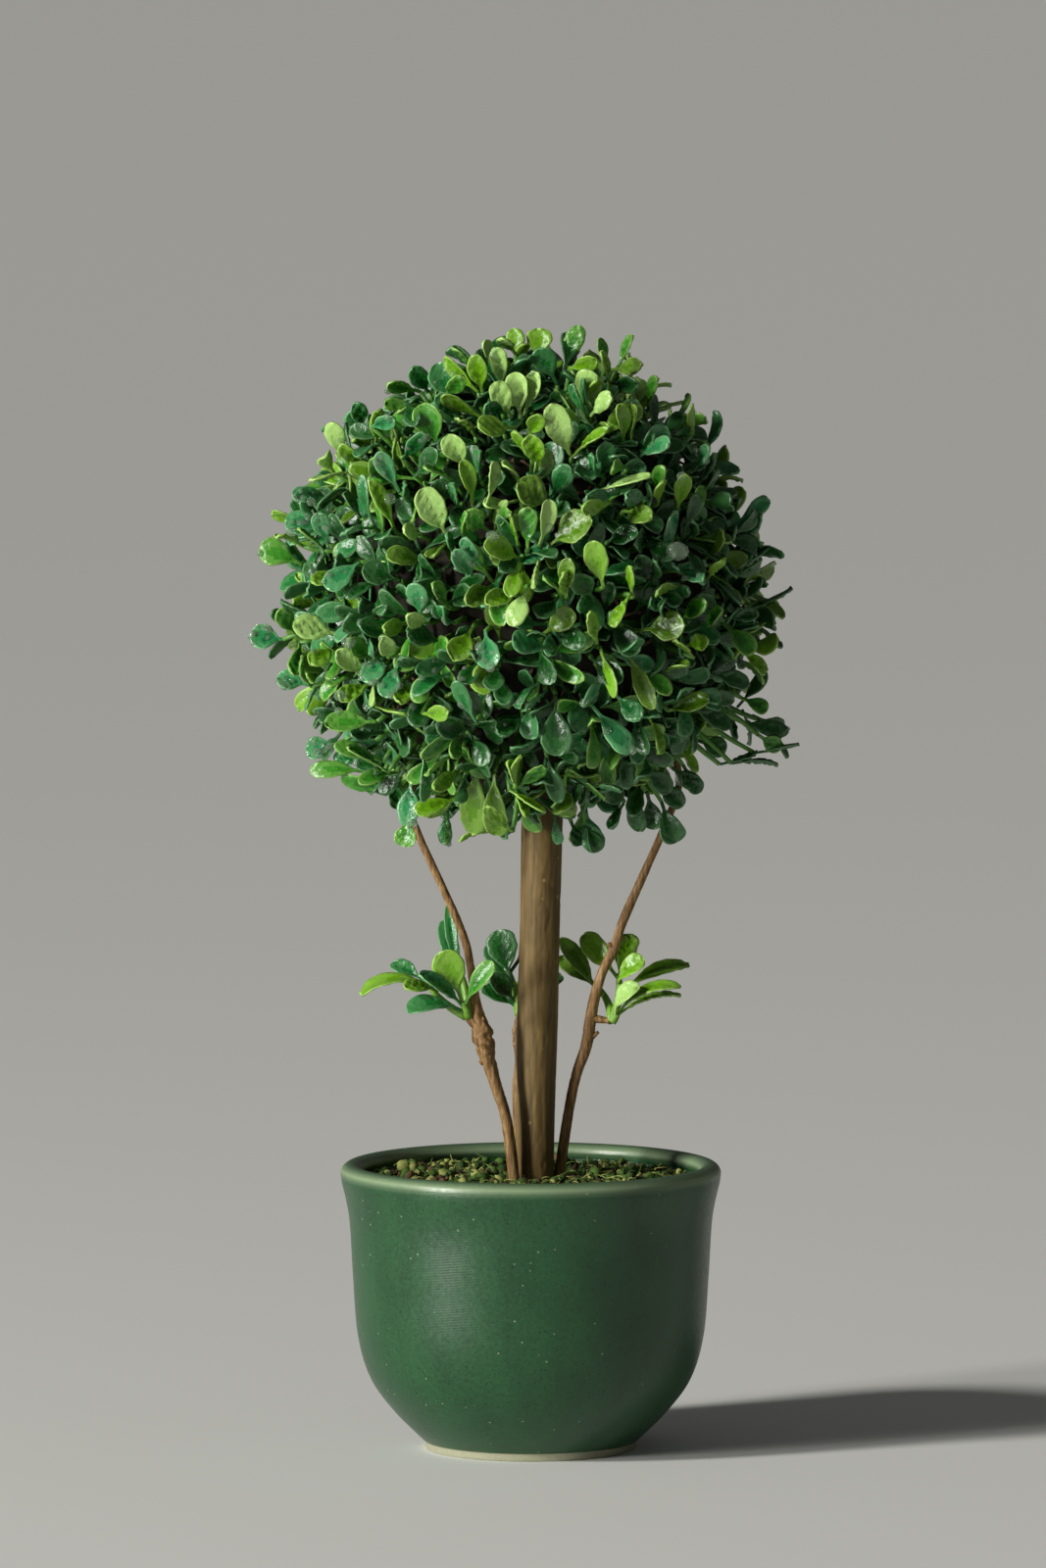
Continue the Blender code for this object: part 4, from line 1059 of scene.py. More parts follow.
def front_leaves(segments, rng):
    """The leaves that can be told apart at the front, and the twig under each."""
    leaves = []
    twigs = []
    for green, places in FRONT_LEAVES.items():
        for foot_side, foot_up, tip_side, tip_up, breadth in places:
            tip_near = math.sqrt(max(FRONT_RADIUS[green] ** 2 - tip_side**2 - tip_up**2, 0.0))
            foot_near = math.sqrt(max(FRONT_FOOT**2 - foot_side**2 - foot_up**2, 0.0))
            seen = math.hypot(tip_side - foot_side, tip_up - foot_up)
            depth = math.sqrt(max(seen * FRONT_SLOPE, FRONT_SHORTEST) ** 2 - seen**2)
            foot_near = min(max(foot_near, tip_near - depth), tip_near + depth)
            width = max(breadth, FRONT_NARROWEST)
            # A leaf that would touch a stem stands farther forward
            for ahead in FRONT_STEPS:
                root = BALL_CENTRE + np.array((foot_side, foot_up, foot_near + ahead)) @ VIEW * MM
                tip = BALL_CENTRE + np.array((tip_side, tip_up, tip_near + ahead)) @ VIEW * MM
                room = room_to_limbs(np.array([root, (root + tip) / 2, tip]), segments)
                if room > LIMB_CLEARANCE + width / 2 * MM:
                    break
            turn = math.acos(breadth / width) * rng.choice((-1, 1))
            towards = np.array(FRONT_FACE) @ VIEW
            sideways = unit(np.cross(tip - root, towards))
            face = towards * math.cos(turn) + sideways * math.sin(turn)
            leaves.append(habit_leaf(root, tip, face, width * MM, green, FRONT_HABIT, rng))
            way = unit(root - BALL_CENTRE)
            twigs.append((BALL_CENTRE + way * CORE_SKIN, root))
    return leaves, twigs


def green_at(outward, centres, rng):
    """The green of a sprig that points outward."""
    place = np.array(outward) * PATCH_RADIUS
    front = outward @ VIEW[2] > FRONT_SHARE
    if not front:
        for centre, green in centres:
            if np.linalg.norm(place - centre) < PATCH_SPREAD and rng.random() < PATCH_FULLNESS:
                return green
    return rng.choices(GREENS, FRONT_SHARES if front else BACK_SHARES)[0]


def patch_centres(rng):
    """Places of lighter patches on the back of the ball, and the green of each."""
    centres = []
    for i in range(PATCHES):
        rise = 0.95 - 1.9 * (i + 0.5) / PATCHES
        bearing = i * GOLDEN_ANGLE
        level = math.sqrt(1 - rise * rise)
        place = np.array((level * math.cos(bearing), level * math.sin(bearing), rise)) * PATCH_RADIUS
        centres.append((place, rng.choice(PATCH_GREENS)))
    return centres


def ball_sprigs(rng):
    """The solid's own sprigs: each one's direction from the ball's centre and its reach."""
    sprigs = []
    for bearing, rise, reach in STRAYS:
        level = math.cos(math.radians(rise))
        heading = math.radians(bearing)
        outward = Vector((level * math.cos(heading), level * math.sin(heading), math.sin(math.radians(rise))))
        sprigs.append((outward, reach))
    return sprigs + even_sprigs(BALL_SPRIGS, 0.0, BALL_REACH, rng)


def even_sprigs(count, first_turn, reach, rng):
    """Sprigs spread evenly over the ball by the golden angle, each a little off its place."""
    sprigs = []
    for i in range(count):
        rise = 1 - (2 * i + 1) / count
        turn = i * GOLDEN_ANGLE + first_turn
        level = math.sqrt(1 - rise * rise)
        outward = Vector((level * math.cos(turn), level * math.sin(turn), rise))
        outward += Vector([rng.uniform(-BALL_JITTER, BALL_JITTER) for _ in range(3)])
        sprigs.append((outward.normalized(), rng.uniform(*reach)))
    return sprigs


def hides_front(samples, front):
    """Whether any of these places stands before a leaf at the front, as the viewer sees it."""
    here = (samples - BALL_CENTRE) @ VIEW.T
    apart = np.linalg.norm(here[:, None, :2] - front[None, :, :2], axis=2)
    nearer = here[:, None, 2] > front[None, :, 2] - FRONT_BEHIND
    return bool(((apart < FRONT_CLEAR) & nearer).any())


def grow_ball():
    """Every leaf and twig of the ball: those at the front first, and then the rest by rule."""
    leaf = sizes("leaf")
    rng = random.Random(FINE_SEED)
    segments = limb_segments()
    centres = patch_centres(rng)
    fronts, twigs = front_leaves(segments, rng)
    shares = np.array(FRONT_SAMPLES)[:, None]
    placed = np.concatenate([one["root"] + (one["tip"] - one["root"]) * shares for one in fronts])
    front = (placed - BALL_CENTRE) @ VIEW.T
    leaves = []
    sprigs = ball_sprigs(random.Random(BALL_SEED)) + even_sprigs(leaf.fine_sprigs, FINE_TURN, FINE_REACH, rng)
    for number, (outward, reach) in enumerate(sprigs):
        out = np.array(outward)
        green = "deep" if number < len(STRAYS) else green_at(out, centres, rng)
        length = rng.uniform(leaf.length_least, leaf.length_most)
        end = reach - length * LENGTH_IN_REACH
        lowest = max(CORE_SKIN + CORE_SPARE, end - LEAFY_LENGTH)
        root = BALL_CENTRE + out * CORE_SKIN
        top = BALL_CENTRE + out * end
        if room_to_limbs(np.array([root, top]), segments) < LIMB_CLEARANCE:
            continue
        twigs.append((root, top))
        side = np.array(outward.orthogonal().normalized())
        over = np.cross(out, side)
        phase = rng.uniform(0.0, math.tau)
        for k in range(leaf.leaves):
            seat = BALL_CENTRE + out * (end - (end - lowest) * k / max(leaf.leaves - 1, 1))
            size = length * (1.0 if k == 0 else rng.uniform(*SIZE_SPREAD))
            width = rng.uniform(leaf.width_least, leaf.width_most)
            for _ in range(BALL_TRIES):
                turn = phase + k * GOLDEN_ANGLE + rng.uniform(-TURN_JITTER, TURN_JITTER)
                lean = math.radians(rng.uniform(*LEAF_LEANS[min(k, len(LEAF_LEANS) - 1)]))
                sideways = side * math.cos(turn) + over * math.sin(turn)
                along = out * math.cos(lean) + sideways * math.sin(lean)
                tip = seat + along * size
                samples = seat + along * size * np.array(BALL_SAMPLES)[:, None]
                inside = tip[2] > BALL_BOTTOM and np.linalg.norm(tip - BALL_CENTRE) < reach + REACH_SPARE
                if not inside or room_to_limbs(samples, segments) < LIMB_CLEARANCE + width / 2:
                    continue
                if np.linalg.norm(placed[:, None] - samples[None], axis=2).min() < LEAF_ROOM:
                    continue
                if hides_front(samples, front):
                    continue
                placed = np.concatenate([placed, samples])
                face = out - along * along.dot(out)
                if np.linalg.norm(face) < UPRIGHT:
                    face = -sideways
                face = unit(face) + FACE_JITTER * np.array([rng.uniform(-1, 1) for _ in range(3)])
                own = green if rng.random() < SPRIG_GREEN_SHARE else green_at(out, centres, rng)
                leaves.append(habit_leaf(seat, tip, face, width, own, BALL_HABIT, rng))
                break
    return fronts, leaves, twigs


def inner_leaves(segments, rng):
    """Short dark leaves that lie close to the core, seen between the others."""
    leaves = []
    for outward, reach in even_sprigs(INNER_LEAVES, INNER_TURN, INNER_REACH, rng):
        out = np.array(outward)
        turn = rng.uniform(0, math.tau)
        side = np.array(outward.orthogonal().normalized())
        sideways = side * math.cos(turn) + np.cross(out, side) * math.sin(turn)
        root = BALL_CENTRE + out * (CORE_SKIN + 0.0005)
        tip = BALL_CENTRE + unit(out * reach + sideways * rng.uniform(*INNER_ASIDE)) * reach
        if room_to_limbs(np.array([root, tip]), segments) < LIMB_CLEARANCE + INNER_CLEARANCE:
            continue
        face = out + 0.5 * np.array([rng.uniform(-1, 1) for _ in range(3)])
        leaves.append(
            {
                "root": root,
                "tip": tip,
                "face": face,
                "width": rng.uniform(*INNER_WIDTH),
                "stalk": 0.25,
                "bend": math.radians(rng.uniform(-10, 40)),
                "cup": rng.uniform(0.0, 0.5),
                "twist": 0.0,
                "heart": rng.uniform(0.0, 0.6),
                "green": "deep",
            }
        )
    return leaves


def add_core(node, slot, rng):
    """The ball's core: a rough brown lump with bits of twig stuck on, seen between the leaves and painted
    near black as the shade there.
    """
    leaf = sizes("leaf")
    shaper = bmesh.new()
    bmesh.ops.create_icosphere(shaper, subdivisions=5, radius=1.0)
    for vertex in shaper.verts:
        way = vertex.co.normalized()
        lumps = [height * noise.noise(way * waves) for waves, height in CORE_LUMPS]
        vertex.co = Vector(BALL_CENTRE) + way * (CORE_SKIN + lumps[0] + lumps[1])
    mesh = bpy.data.meshes.new("ball_core")
    shaper.to_mesh(mesh)
    shaper.free()
    mesh.shade_smooth()
    # Moulded foam, brown, darkened near black as painted shade in the gaps between the leaves: dull and
    # blotchy
    foam = blotched_material("moulded_foam_core_brown", leaf.core, (0.35, 1.5), CORE_BLOTCH, 5.0, 0.9)
    mesh.materials.append(foam)
    piece = bpy.data.objects.new("ball_core", mesh)
    bpy.context.scene.collection.objects.link(piece)
    settle(piece, node, slot)

    out = unit(rng.normal(size=(CORE_TWIGS, 3)))
    roots = BALL_CENTRE + out * CORE_SKIN
    lying = unit(np.cross(out, unit(rng.normal(size=(CORE_TWIGS, 3)))))
    rise = rng.uniform(*CORE_TWIG_RISE, (CORE_TWIGS, 1))
    tips = roots + (lying + out * rise) * rng.uniform(*CORE_TWIG_LENGTH, (CORE_TWIGS, 1))
    kept = tips[:, 2] > BALL_BOTTOM + CORE_TWIG_BOTTOM
    rings = bent_twigs(roots[kept], tips[kept], *CORE_TWIG, rng)
    points, quads, triangles = shells(rings)
    # Dead twig ends: dry, brown and matt
    dry = plain_material("dry_twig_ends", leaf.dead_twig, 0.8)
    settle(add_mesh("ball_dead_twigs", points, quads, triangles, [dry]), node, slot)


class TOPIARY_OT_leaf_ball(bpy.types.Operator):
    """Grow the ball's leaves and twigs round its core"""

    bl_idname = "topiary.leaf_ball"
    bl_label = "Leaf ball"

    def execute(self, context):
        place = ("leaf_ball", "ball_leaves")
        shaper = np.random.default_rng(FINE_SEED)
        fronts, leaves, twigs = grow_ball()
        near = add_green_leaves("ball_front_leaves", fronts, FINE_GRID, *place, shaper)
        rest = add_green_leaves("ball_leaves", leaves, MAIN_GRID, *place, shaper)
        inner = inner_leaves(limb_segments(), random.Random(FINE_SEED))
        add_leaves("ball_inner_leaves", inner, "deep", INNER_GRID, *place, shaper)
        roots = np.array([root for root, _ in twigs])
        tips = np.array([tip for _, tip in twigs])
        rings = bent_twigs(roots, tips, *BALL_TWIG, shaper)
        points, quads, triangles = shells(rings)
        piece = add_mesh("ball_twigs", points, quads, triangles, [leaf_materials("mid")[STALK]])
        settle(piece, *place)
        add_core(*place, shaper)
        add_drops(near, rest, shaper)
        return {"FINISHED"}


def drop_seats(grown, grid, count, rng):
    """Places on the blades for water drops, with the ways ahead, across and above at each."""
    rings = np.concatenate(list(grown.values()))
    wetness = np.concatenate([np.full(len(each), WETNESS[green]) for green, each in grown.items()])
    wetness = wetness * np.where(rings[:, 0, 0, 0] < BALL_CENTRE[0], *WET_SIDES)
    chosen = rng.choice(len(rings), count, p=wetness / wetness.sum())
    row = rng.integers(grid["stalk"] + grid["rise"] // 2, rings.shape[1] - 2, count)
    column = rng.integers(1, grid["top"] - 1, count)
    ahead = unit(rings[chosen, row + 1, column] - rings[chosen, row - 1, column])
    across = rings[chosen, row, column - 1] - rings[chosen, row, column + 1]
    above = unit(np.cross(ahead, across))
    return rings[chosen, row, column], ahead, np.cross(above, ahead), above


def large_drop_seats(grown):
    """Places of the drops that stand out, each on the foremost blade there and turned to the viewer, and
    their radii."""
    points = np.concatenate([rings.reshape(-1, 3) for rings in grown.values()])
    here = (points - BALL_CENTRE) @ VIEW.T
    seats, radii = [], []
    for side, up, radius in LARGE_DROPS:
        off = np.hypot(here[:, 0] - side * MM, here[:, 1] - up * MM)
        close = np.flatnonzero(off < max(0.0012, off.min() + 0.0004))
        seats.append(points[close[np.argmax(here[close, 2])]])
        radii.append(radius * MM)
    count = len(seats)
    return (np.array(seats), *(np.tile(axis, (count, 1)) for axis in VIEW)), np.array(radii)


def add_drops(near, rest, rng):
    """Drops of water that sit on the blades at the front and on the rest, most of them on the left."""
    front = drop_seats(near, FINE_GRID, FRONT_DROPS, rng)
    back = drop_seats(rest, MAIN_GRID, BACK_DROPS, rng)
    chosen, large = large_drop_seats(near)
    seats = zip(front, back, chosen)
    spot, ahead, across, above = (np.concatenate(parts)[:, None, None] for parts in seats)
    count = len(spot)
    small = rng.triangular(*DROP_RADII, count - len(large)) * MM
    radius = np.concatenate([small, large]).reshape(-1, 1, 1, 1)
    lift = np.linspace(*DROP_SPAN, DROP_RINGS) * math.pi
    level = np.maximum(np.cos(lift), DROP_TOP)[None, :, None, None]
    high = np.sin(lift)[None, :, None, None]
    angles = np.arange(DROP_AROUND) * math.tau / DROP_AROUND
    stretch = rng.uniform(*DROP_STRETCH, (count, 1, 1, 1))
    flat = rng.uniform(*DROP_FLATNESS, (count, 1, 1, 1))
    drops = (
        spot
        + ahead * np.cos(angles)[:, None] * level * radius * stretch
        + across * np.sin(angles)[:, None] * level * radius
        + above * high * radius * flat
    )
    points, quads, triangles = shells(drops)
    # Water: smooth enough to show each lamp as a spark, clear enough to let most of its light through to the
    # blade, and given a pale green colour as painted reflection of the leaves all round it and a painted
    # silvery sheen
    material, _, _ = new_material(
        "clear_water_drops",
        Base_Color=rgba(sizes("leaf").water),
        Roughness=0.03,
        IOR=1.333,
        Transmission_Weight=0.84,
        Alpha=0.65,
    )
    piece = add_mesh("ball_water_drops", points, quads, triangles, [material])
    settle(piece, "leaf_ball", "ball_leaves")


class TOPIARY_OT_sprigs(bpy.types.Operator):
    """Grow the small sprigs on the three stems"""

    bl_idname = "topiary.sprigs"
    bl_label = "Stem sprigs"

    def execute(self, context):
        rng = np.random.default_rng(SPRIG_SEED)
        for name, spur, twigs, leaves in (
            ("left_sprig", LEFT_SPUR, LEFT_TWIGS, LEFT_LEAVES),
            ("right_sprig", RIGHT_SPUR, RIGHT_TWIGS, RIGHT_LEAVES),
            ("rear_sprig", REAR_SPUR, REAR_TWIGS, REAR_LEAVES),
        ):
            root, tip = np.array(spur[0]), np.array(spur[1])
            base = tip + unit(tip - root) * GAP
            seats = [base + np.array(offset) for offset in twigs]
            rings = bent_twigs(np.array([base] * len(seats)), np.array(seats), *SPRIG_TWIG, rng)
            points, quads, triangles = shells(rings)
            piece = add_mesh(f"{name}_twigs", points, quads, triangles, [leaf_materials("lime")[STALK]])
            settle(piece, name, "sprig_leaves")
            grown = []
            for twig, share, offset, width, green, turn, bend, cup in leaves:
                turn = math.radians(turn)
                grown.append(
                    {
                        "root": base + (seats[twig] - base) * share,
                        "tip": base + np.array(offset),
                        "face": np.array((-0.15, -math.cos(turn), math.sin(turn))),
                        "width": width,
                        "stalk": rng.uniform(0.15, 0.25),
                        "bend": math.radians(bend),
                        "cup": cup,
                        "twist": rng.uniform(-0.2, 0.2),
                        "heart": rng.uniform(*HEARTS[green]),
                        "green": green,
                    }
                )
            add_green_leaves(f"{name}_leaves", grown, FINE_GRID, name, "sprig_leaves", rng)
        return {"FINISHED"}


def bark_relief(course, around, bark, seed):
    """Lengthwise cracks and ridges for a limb's skin."""
    depth, long_wave, round_wave = bark
    relief = np.zeros((len(course), around))
    for i, (_, _, z, radius) in enumerate(course):
        for j in range(around):
            angle = math.tau * j / around
            x = math.cos(angle) * radius / round_wave
            y = math.sin(angle) * radius / round_wave
            broad = noise.noise(Vector((x, y, z / long_wave + seed)))
            narrow = noise.noise(Vector((x * 2.7, y * 2.7, z / long_wave * 1.9 + seed * 2)))
            crack = max(0.0, 1.0 - abs(narrow) / 0.10)
            rough = noise.noise(Vector((x * 6, y * 6, z / long_wave * 14)))
            relief[i, j] = depth * (0.55 * broad - 0.75 * crack + 0.22 * rough)
    return relief


def peeling(course, around, seed):
    """Curled flakes of bark on a stem's knob, deeper the thicker the stem is there."""
    relief = np.zeros((len(course), around))
    for i, (_, _, z, radius) in enumerate(course):
        depth = FLAKE_DEPTH * min(max(radius - FLAKES_FROM, 0.0), FLAKES_FULL)
        for j in range(around):
            angle = math.tau * j / around
            up = z / FLAKE_HEIGHT + seed + angle * 0.4
            place = Vector((math.cos(angle) * 2.2, math.sin(angle) * 2.2, up))
            relief[i, j] = depth * (1.6 * noise.noise(place) + 0.9 * abs(noise.noise(place * 2.1)) - 0.2)
    return relief


def wood_material(name, colours, grain):
    """Dry wood or bark: long streaks between light and dark, softer with a wider spread, and no shine."""
    colour, shade, pale = colours
    wide, long, spread = grain
    material, tree, shader = new_material(name, Roughness=0.7, IOR=1.5)
    place = add_node(tree, "ShaderNodeTexCoord").outputs["Object"]
    scale = (1 / (wide * MM), 1 / (wide * MM), 1 / (long * MM))
    streaked = add_node(tree, "ShaderNodeMapping", {"Vector": place, "Scale": scale}).outputs["Vector"]
    streaks = add_node(tree, "ShaderNodeTexNoise", {"Vector": streaked, "Scale": 1.0, "Detail": 6.0})
    ramp = add_node(tree, "ShaderNodeValToRGB", {"Fac": streaks.outputs["Fac"]})
    set_stops(ramp, ((0.5 - spread, rgba(shade)), (0.5, rgba(colour)), (0.5 + spread, rgba(pale))))
    blotched = {"Vector": place, "Scale": 1 / (WOOD_BLOTCH * MM), "Detail": 3.0}
    blotches = add_node(tree, "ShaderNodeTexNoise", blotched)
    tint = add_node(tree, "ShaderNodeMix", {"Factor": blotches.outputs["Fac"]}, data_type="RGBA")
    tint.blend_type = "MULTIPLY"
    tree.links.new(ramp.outputs["Color"], tint.inputs["A"])
    tint.inputs["B"].default_value = WOOD_TINT
    nicked = add_specks(tree, place, tint.outputs["Result"], rgba(pale, 1.1), *NICKS)
    tree.links.new(nicked, shader.inputs["Base Color"])
    height = {"Height": streaks.outputs["Fac"], "Strength": 0.6, "Distance": 0.15 * MM}
    bump = add_node(tree, "ShaderNodeBump", height)
    tree.links.new(bump.outputs["Normal"], shader.inputs["Normal"])
    return material


class TOPIARY_OT_trunk(bpy.types.Operator):
    """Build the trunk with its cracked wood"""

    bl_idname = "topiary.trunk"
    bl_label = "Trunk"

    def execute(self, context):
        bark = sizes("bark")
        course = smooth_course(TRUNK, TRUNK_STEPS)
        relief = bark_relief(course, TRUNK_AROUND, TRUNK_BARK, 3.0)
        rings = tube_rings(course, TRUNK_AROUND, relief)
        points, quads, triangles = shells(rings[None])
        colours = (bark.wood, bark.wood_shade, bark.wood_scrape)
        material = wood_material("weathered_stick_wood", colours, TRUNK_GRAIN)
        piece = add_mesh("trunk_wood", points, quads, triangles, [material])
        settle(piece, "trunk", "trunk_wood")
        return {"FINISHED"}


class TOPIARY_OT_stems(bpy.types.Operator):
    """Build the three thin stems with their knobs and broken twigs"""

    bl_idname = "topiary.stems"
    bl_label = "Stems"

    def execute(self, context):
        bark = sizes("bark")
        pale = rgba(bark.bark, 1.0, (0.9, 0.72, 0.42), 0.35)[:3]
        colours = (bark.bark, bark.bark_shade, pale)
        material = wood_material("peeling_twig_bark", colours, STEM_GRAIN)
        for name, points_of, spur, nubs, seed in (
            ("left_stem", LEFT_STEM, LEFT_SPUR, LEFT_NUBS, 1.0),
            ("right_stem", RIGHT_STEM, RIGHT_SPUR, RIGHT_NUBS, 5.0),
            ("rear_stem", REAR_STEM, REAR_SPUR, REAR_NUBS, 9.0),
        ):
            course = smooth_course(points_of, STEM_STEPS)
            relief = bark_relief(course, STEM_AROUND, STEM_BARK, seed) + peeling(course, STEM_AROUND, seed)
            parts = [shells(tube_rings(course, STEM_AROUND, relief)[None])]
            for root, tip, start, end in (spur, *nubs):
                root, tip = np.array(root), np.array(tip)
                share = np.linspace(0, 1, SPUR_RINGS)[:, None]
                radius = start + (end - start) * share
                stub = np.concatenate([root + (tip - root) * share, radius], 1)
                rough = bark_relief(stub, SPUR_AROUND, SPUR_BARK, seed)
                parts.append(shells(tube_rings(stub, SPUR_AROUND, rough)[None]))
            points, quads, triangles = join_shells(parts)
            piece = add_mesh(f"{name}_bark", points, quads, triangles, [material])
            settle(piece, name, "stem_bark")
        return {"FINISHED"}


def join_shells(parts):
    """Several shells as one set of arrays."""
    points, quads, triangles = [], [], []
    start = 0
    for places, fours, threes in parts:
        points.append(places)
        quads.append(fours + start)
        triangles.append(threes + start)
        start += len(places)
    return np.concatenate(points), np.concatenate(quads), np.concatenate(triangles)


def side_at(inset, steps):
    """The pot's side, bottom to top, moved in by an inset square to itself."""
    side = smooth_course(POT_SIDE, steps)
    moved = []
    for i, (radius, height) in enumerate(side):
        below = side[max(i - 1, 0)]
        above = side[min(i + 1, len(side) - 1)]
        run = above[0] - below[0]
        rise = above[1] - below[1]
        length = math.hypot(run, rise)
        moved.append((radius - inset * rise / length, height + inset * run / length))
    return moved


def pot_profile():
    """Radius and height round the pot's section, and at which of its points the bare clay starts."""
    pot = sizes("pot")
    lip_middle = pot.lip_radius - pot.lip_width / 2
    lip_base = pot.height - pot.lip_rise
    lip = []
    for angle in np.linspace(math.pi, 0.0, LIP_POINTS):
        across = lip_middle + pot.lip_width / 2 * math.cos(angle)
        lip.append((across, lip_base + pot.lip_rise * math.sin(angle)))
    floor = pot.floor
    inside = [(r, z) for r, z in side_at(pot.wall, POT_STEPS[0]) if floor < z < lip_base]
    outside = side_at(0.0, POT_STEPS[1])
    outside.reverse()
    bare = pot.foot_radius - FOOT_GROOVE
    foot = [
        (bare + 0.0001, FOOT_HEIGHT - 0.0001),
        (bare, FOOT_HEIGHT - FOOT_GROOVE),
        (bare, FOOT_HEIGHT * 0.5),
        (bare, FOOT_EDGE),
        (bare - FOOT_EDGE * 0.3, FOOT_EDGE * 0.3),
        (bare - FOOT_EDGE, 0.0),
        (bare - FOOT_EDGE - 0.0004, 0.0),
        (bare - FOOT_RING, 0.0),
        (bare - FOOT_RING - FOOT_RECESS * 0.5, FOOT_RECESS * 0.5),
        (bare - FOOT_RING - FOOT_RECESS, FOOT_RECESS),
        (bare - FOOT_RING - FOOT_RECESS - 0.001, FOOT_RECESS),
        (POT_MIDDLE, FOOT_RECESS),
    ]
    inner_floor = [(POT_MIDDLE, floor), (inside[0][0] - FLOOR_CORNER, floor)]
    profile = [*inner_floor, *inside, *lip, *outside, *foot]
    return np.array(profile), len(profile) - len(foot)


class TOPIARY_OT_pot(bpy.types.Operator):
    """Turn the glazed cup pot"""

    bl_idname = "topiary.glazed_pot"
    bl_label = "Glazed pot"

    def execute(self, context):
        pot = sizes("pot")
        profile, glazed = pot_profile()
        angles = -np.arange(POT_AROUND) * math.tau / POT_AROUND
        radius, height = profile[:, None, 0], profile[:, None, 1]
        height = np.repeat(height, POT_AROUND, 1)
        rings = np.stack([radius * np.cos(angles), radius * np.sin(angles), height], -1)
        points, quads, triangles = shells(rings[None])
        slots = np.zeros((len(profile) - 1, POT_AROUND), int)
        slots[glazed:] = 1
        ends = np.repeat((0, 1), POT_AROUND)
        materials = [glaze_material(), clay_material()]
        piece = add_mesh("glazed_pot", points, quads, triangles, materials, slots.ravel(), ends)
        settle(piece, "pot", "green_glaze")
        return {"FINISHED"}


def glaze_material():
    """Stoneware glaze, dipped and fired: a satin green, clouded where it ran thick and thin over the
    throwing lines, with dark pits and fine pale dust in it. It breaks pale at the lip."""
    pot = sizes("pot")
    material, tree, shader = new_material("fired_green_stoneware_glaze", IOR=1.52)
    place = add_node(tree, "ShaderNodeTexCoord").outputs["Object"]
    # Clouds and a mottle
    tall = add_node(tree, "ShaderNodeMapping", {"Vector": place, "Scale": (1.0, 1.0, 0.55)}).outputs["Vector"]
    clouds = {"Vector": tall, "Scale": 1 / (GLAZE_CLOUD * MM), "Detail": 5.0}
    cloud = add_node(tree, "ShaderNodeTexNoise", clouds)
    mottle = {"Vector": place, "Scale": 1 / (GLAZE_MOTTLE * MM), "Detail": 4.0}
    fine = add_node(tree, "ShaderNodeTexNoise", mottle)
    both = {0: cloud.outputs["Fac"], 1: fine.outputs["Fac"]}
    both = add_node(tree, "ShaderNodeMath", both, operation="ADD")
    share = {"Value": both.outputs[0], "From Min": 0.75, "From Max": 1.25}
    spread = add_node(tree, "ShaderNodeMapRange", share)
    body = add_node(tree, "ShaderNodeMix", {"Factor": spread.outputs["Result"]}, data_type="RGBA")
    body.inputs["A"].default_value = rgba(pot.glaze, 0.80)
    body.inputs["B"].default_value = rgba(pot.glaze, 1.18)
    colour = body.outputs["Result"]
    # Dark pits and pale dust
    colour = add_specks(tree, place, colour, rgba(pot.glaze, 0.15), *PITS)
    colour = add_specks(tree, place, colour, rgba(pot.speck), *DUST)
    # The glaze thins on the lip, most along its outer edge
    height = add_node(tree, "ShaderNodeSeparateXYZ", {"Vector": place}).outputs["Z"]
    lip = add_node(tree, "ShaderNodeValToRGB")
    set_stops(lip, [(position, (amount, amount, amount, 1.0)) for position, amount in LIP_THINNING])
    top = {"Value": height, "From Min": pot.height - LIP_BAND, "From Max": pot.height}
    risen = add_node(tree, "ShaderNodeMapRange", top)
    tree.links.new(risen.outputs["Result"], lip.inputs["Fac"])
    edge = add_node(tree, "ShaderNodeMix", {"Factor": lip.outputs["Color"], "A": colour}, data_type="RGBA")
    edge.inputs["B"].default_value = rgba(pot.thin_glaze)
    tree.links.new(edge.outputs["Result"], shader.inputs["Base Color"])
    # Satin, and unevenly so
    sheen = {"Value": fine.outputs["Fac"], "From Min": 0.3, "From Max": 0.7, "To Min": 0.30, "To Max": 0.42}
    satin = add_node(tree, "ShaderNodeMapRange", sheen)
    tree.links.new(satin.outputs["Result"], shader.inputs["Roughness"])
    # Throwing lines, which rise a little as they go round, and an orange-peel ripple
    slant = add_node(tree, "ShaderNodeMapping", {"Vector": place, "Rotation": (0.0, 0.12, 0.0)})
    bands = {"Vector": slant.outputs["Vector"], "Scale": WAVE_SCALE / (THROWING_LINE * MM), "Distortion": 1.5}
    lines = add_node(tree, "ShaderNodeTexWave", bands, bands_direction="Z")
    thrown = {"Height": lines.outputs["Fac"], "Strength": 0.10, "Distance": 0.05 * MM}
    turned = add_node(tree, "ShaderNodeBump", thrown)
    peel = {"Height": cloud.outputs["Fac"], "Strength": 0.25, "Distance": 0.5 * MM}
    bump = add_node(tree, "ShaderNodeBump", {**peel, "Normal": turned.outputs["Normal"]})
    tree.links.new(bump.outputs["Normal"], shader.inputs["Normal"])
    return material


def clay_material():
    """Bare stoneware, wiped before firing: pale, dry and faintly gritty."""
    clay = sizes("pot").clay
    return blotched_material("bare_fired_stoneware", clay, (0.75, 1.1), CLAY_GRIT, 4.0, 0.85, 1.5)


def gap_to_limbs(x, y):
    """How far places on the fill are from the foot of the nearest limb."""
    feet = [limb[0] for limb in LIMBS]
    return np.minimum.reduce([np.hypot(x - foot[0], y - foot[1]) - foot[3] for foot in feet])


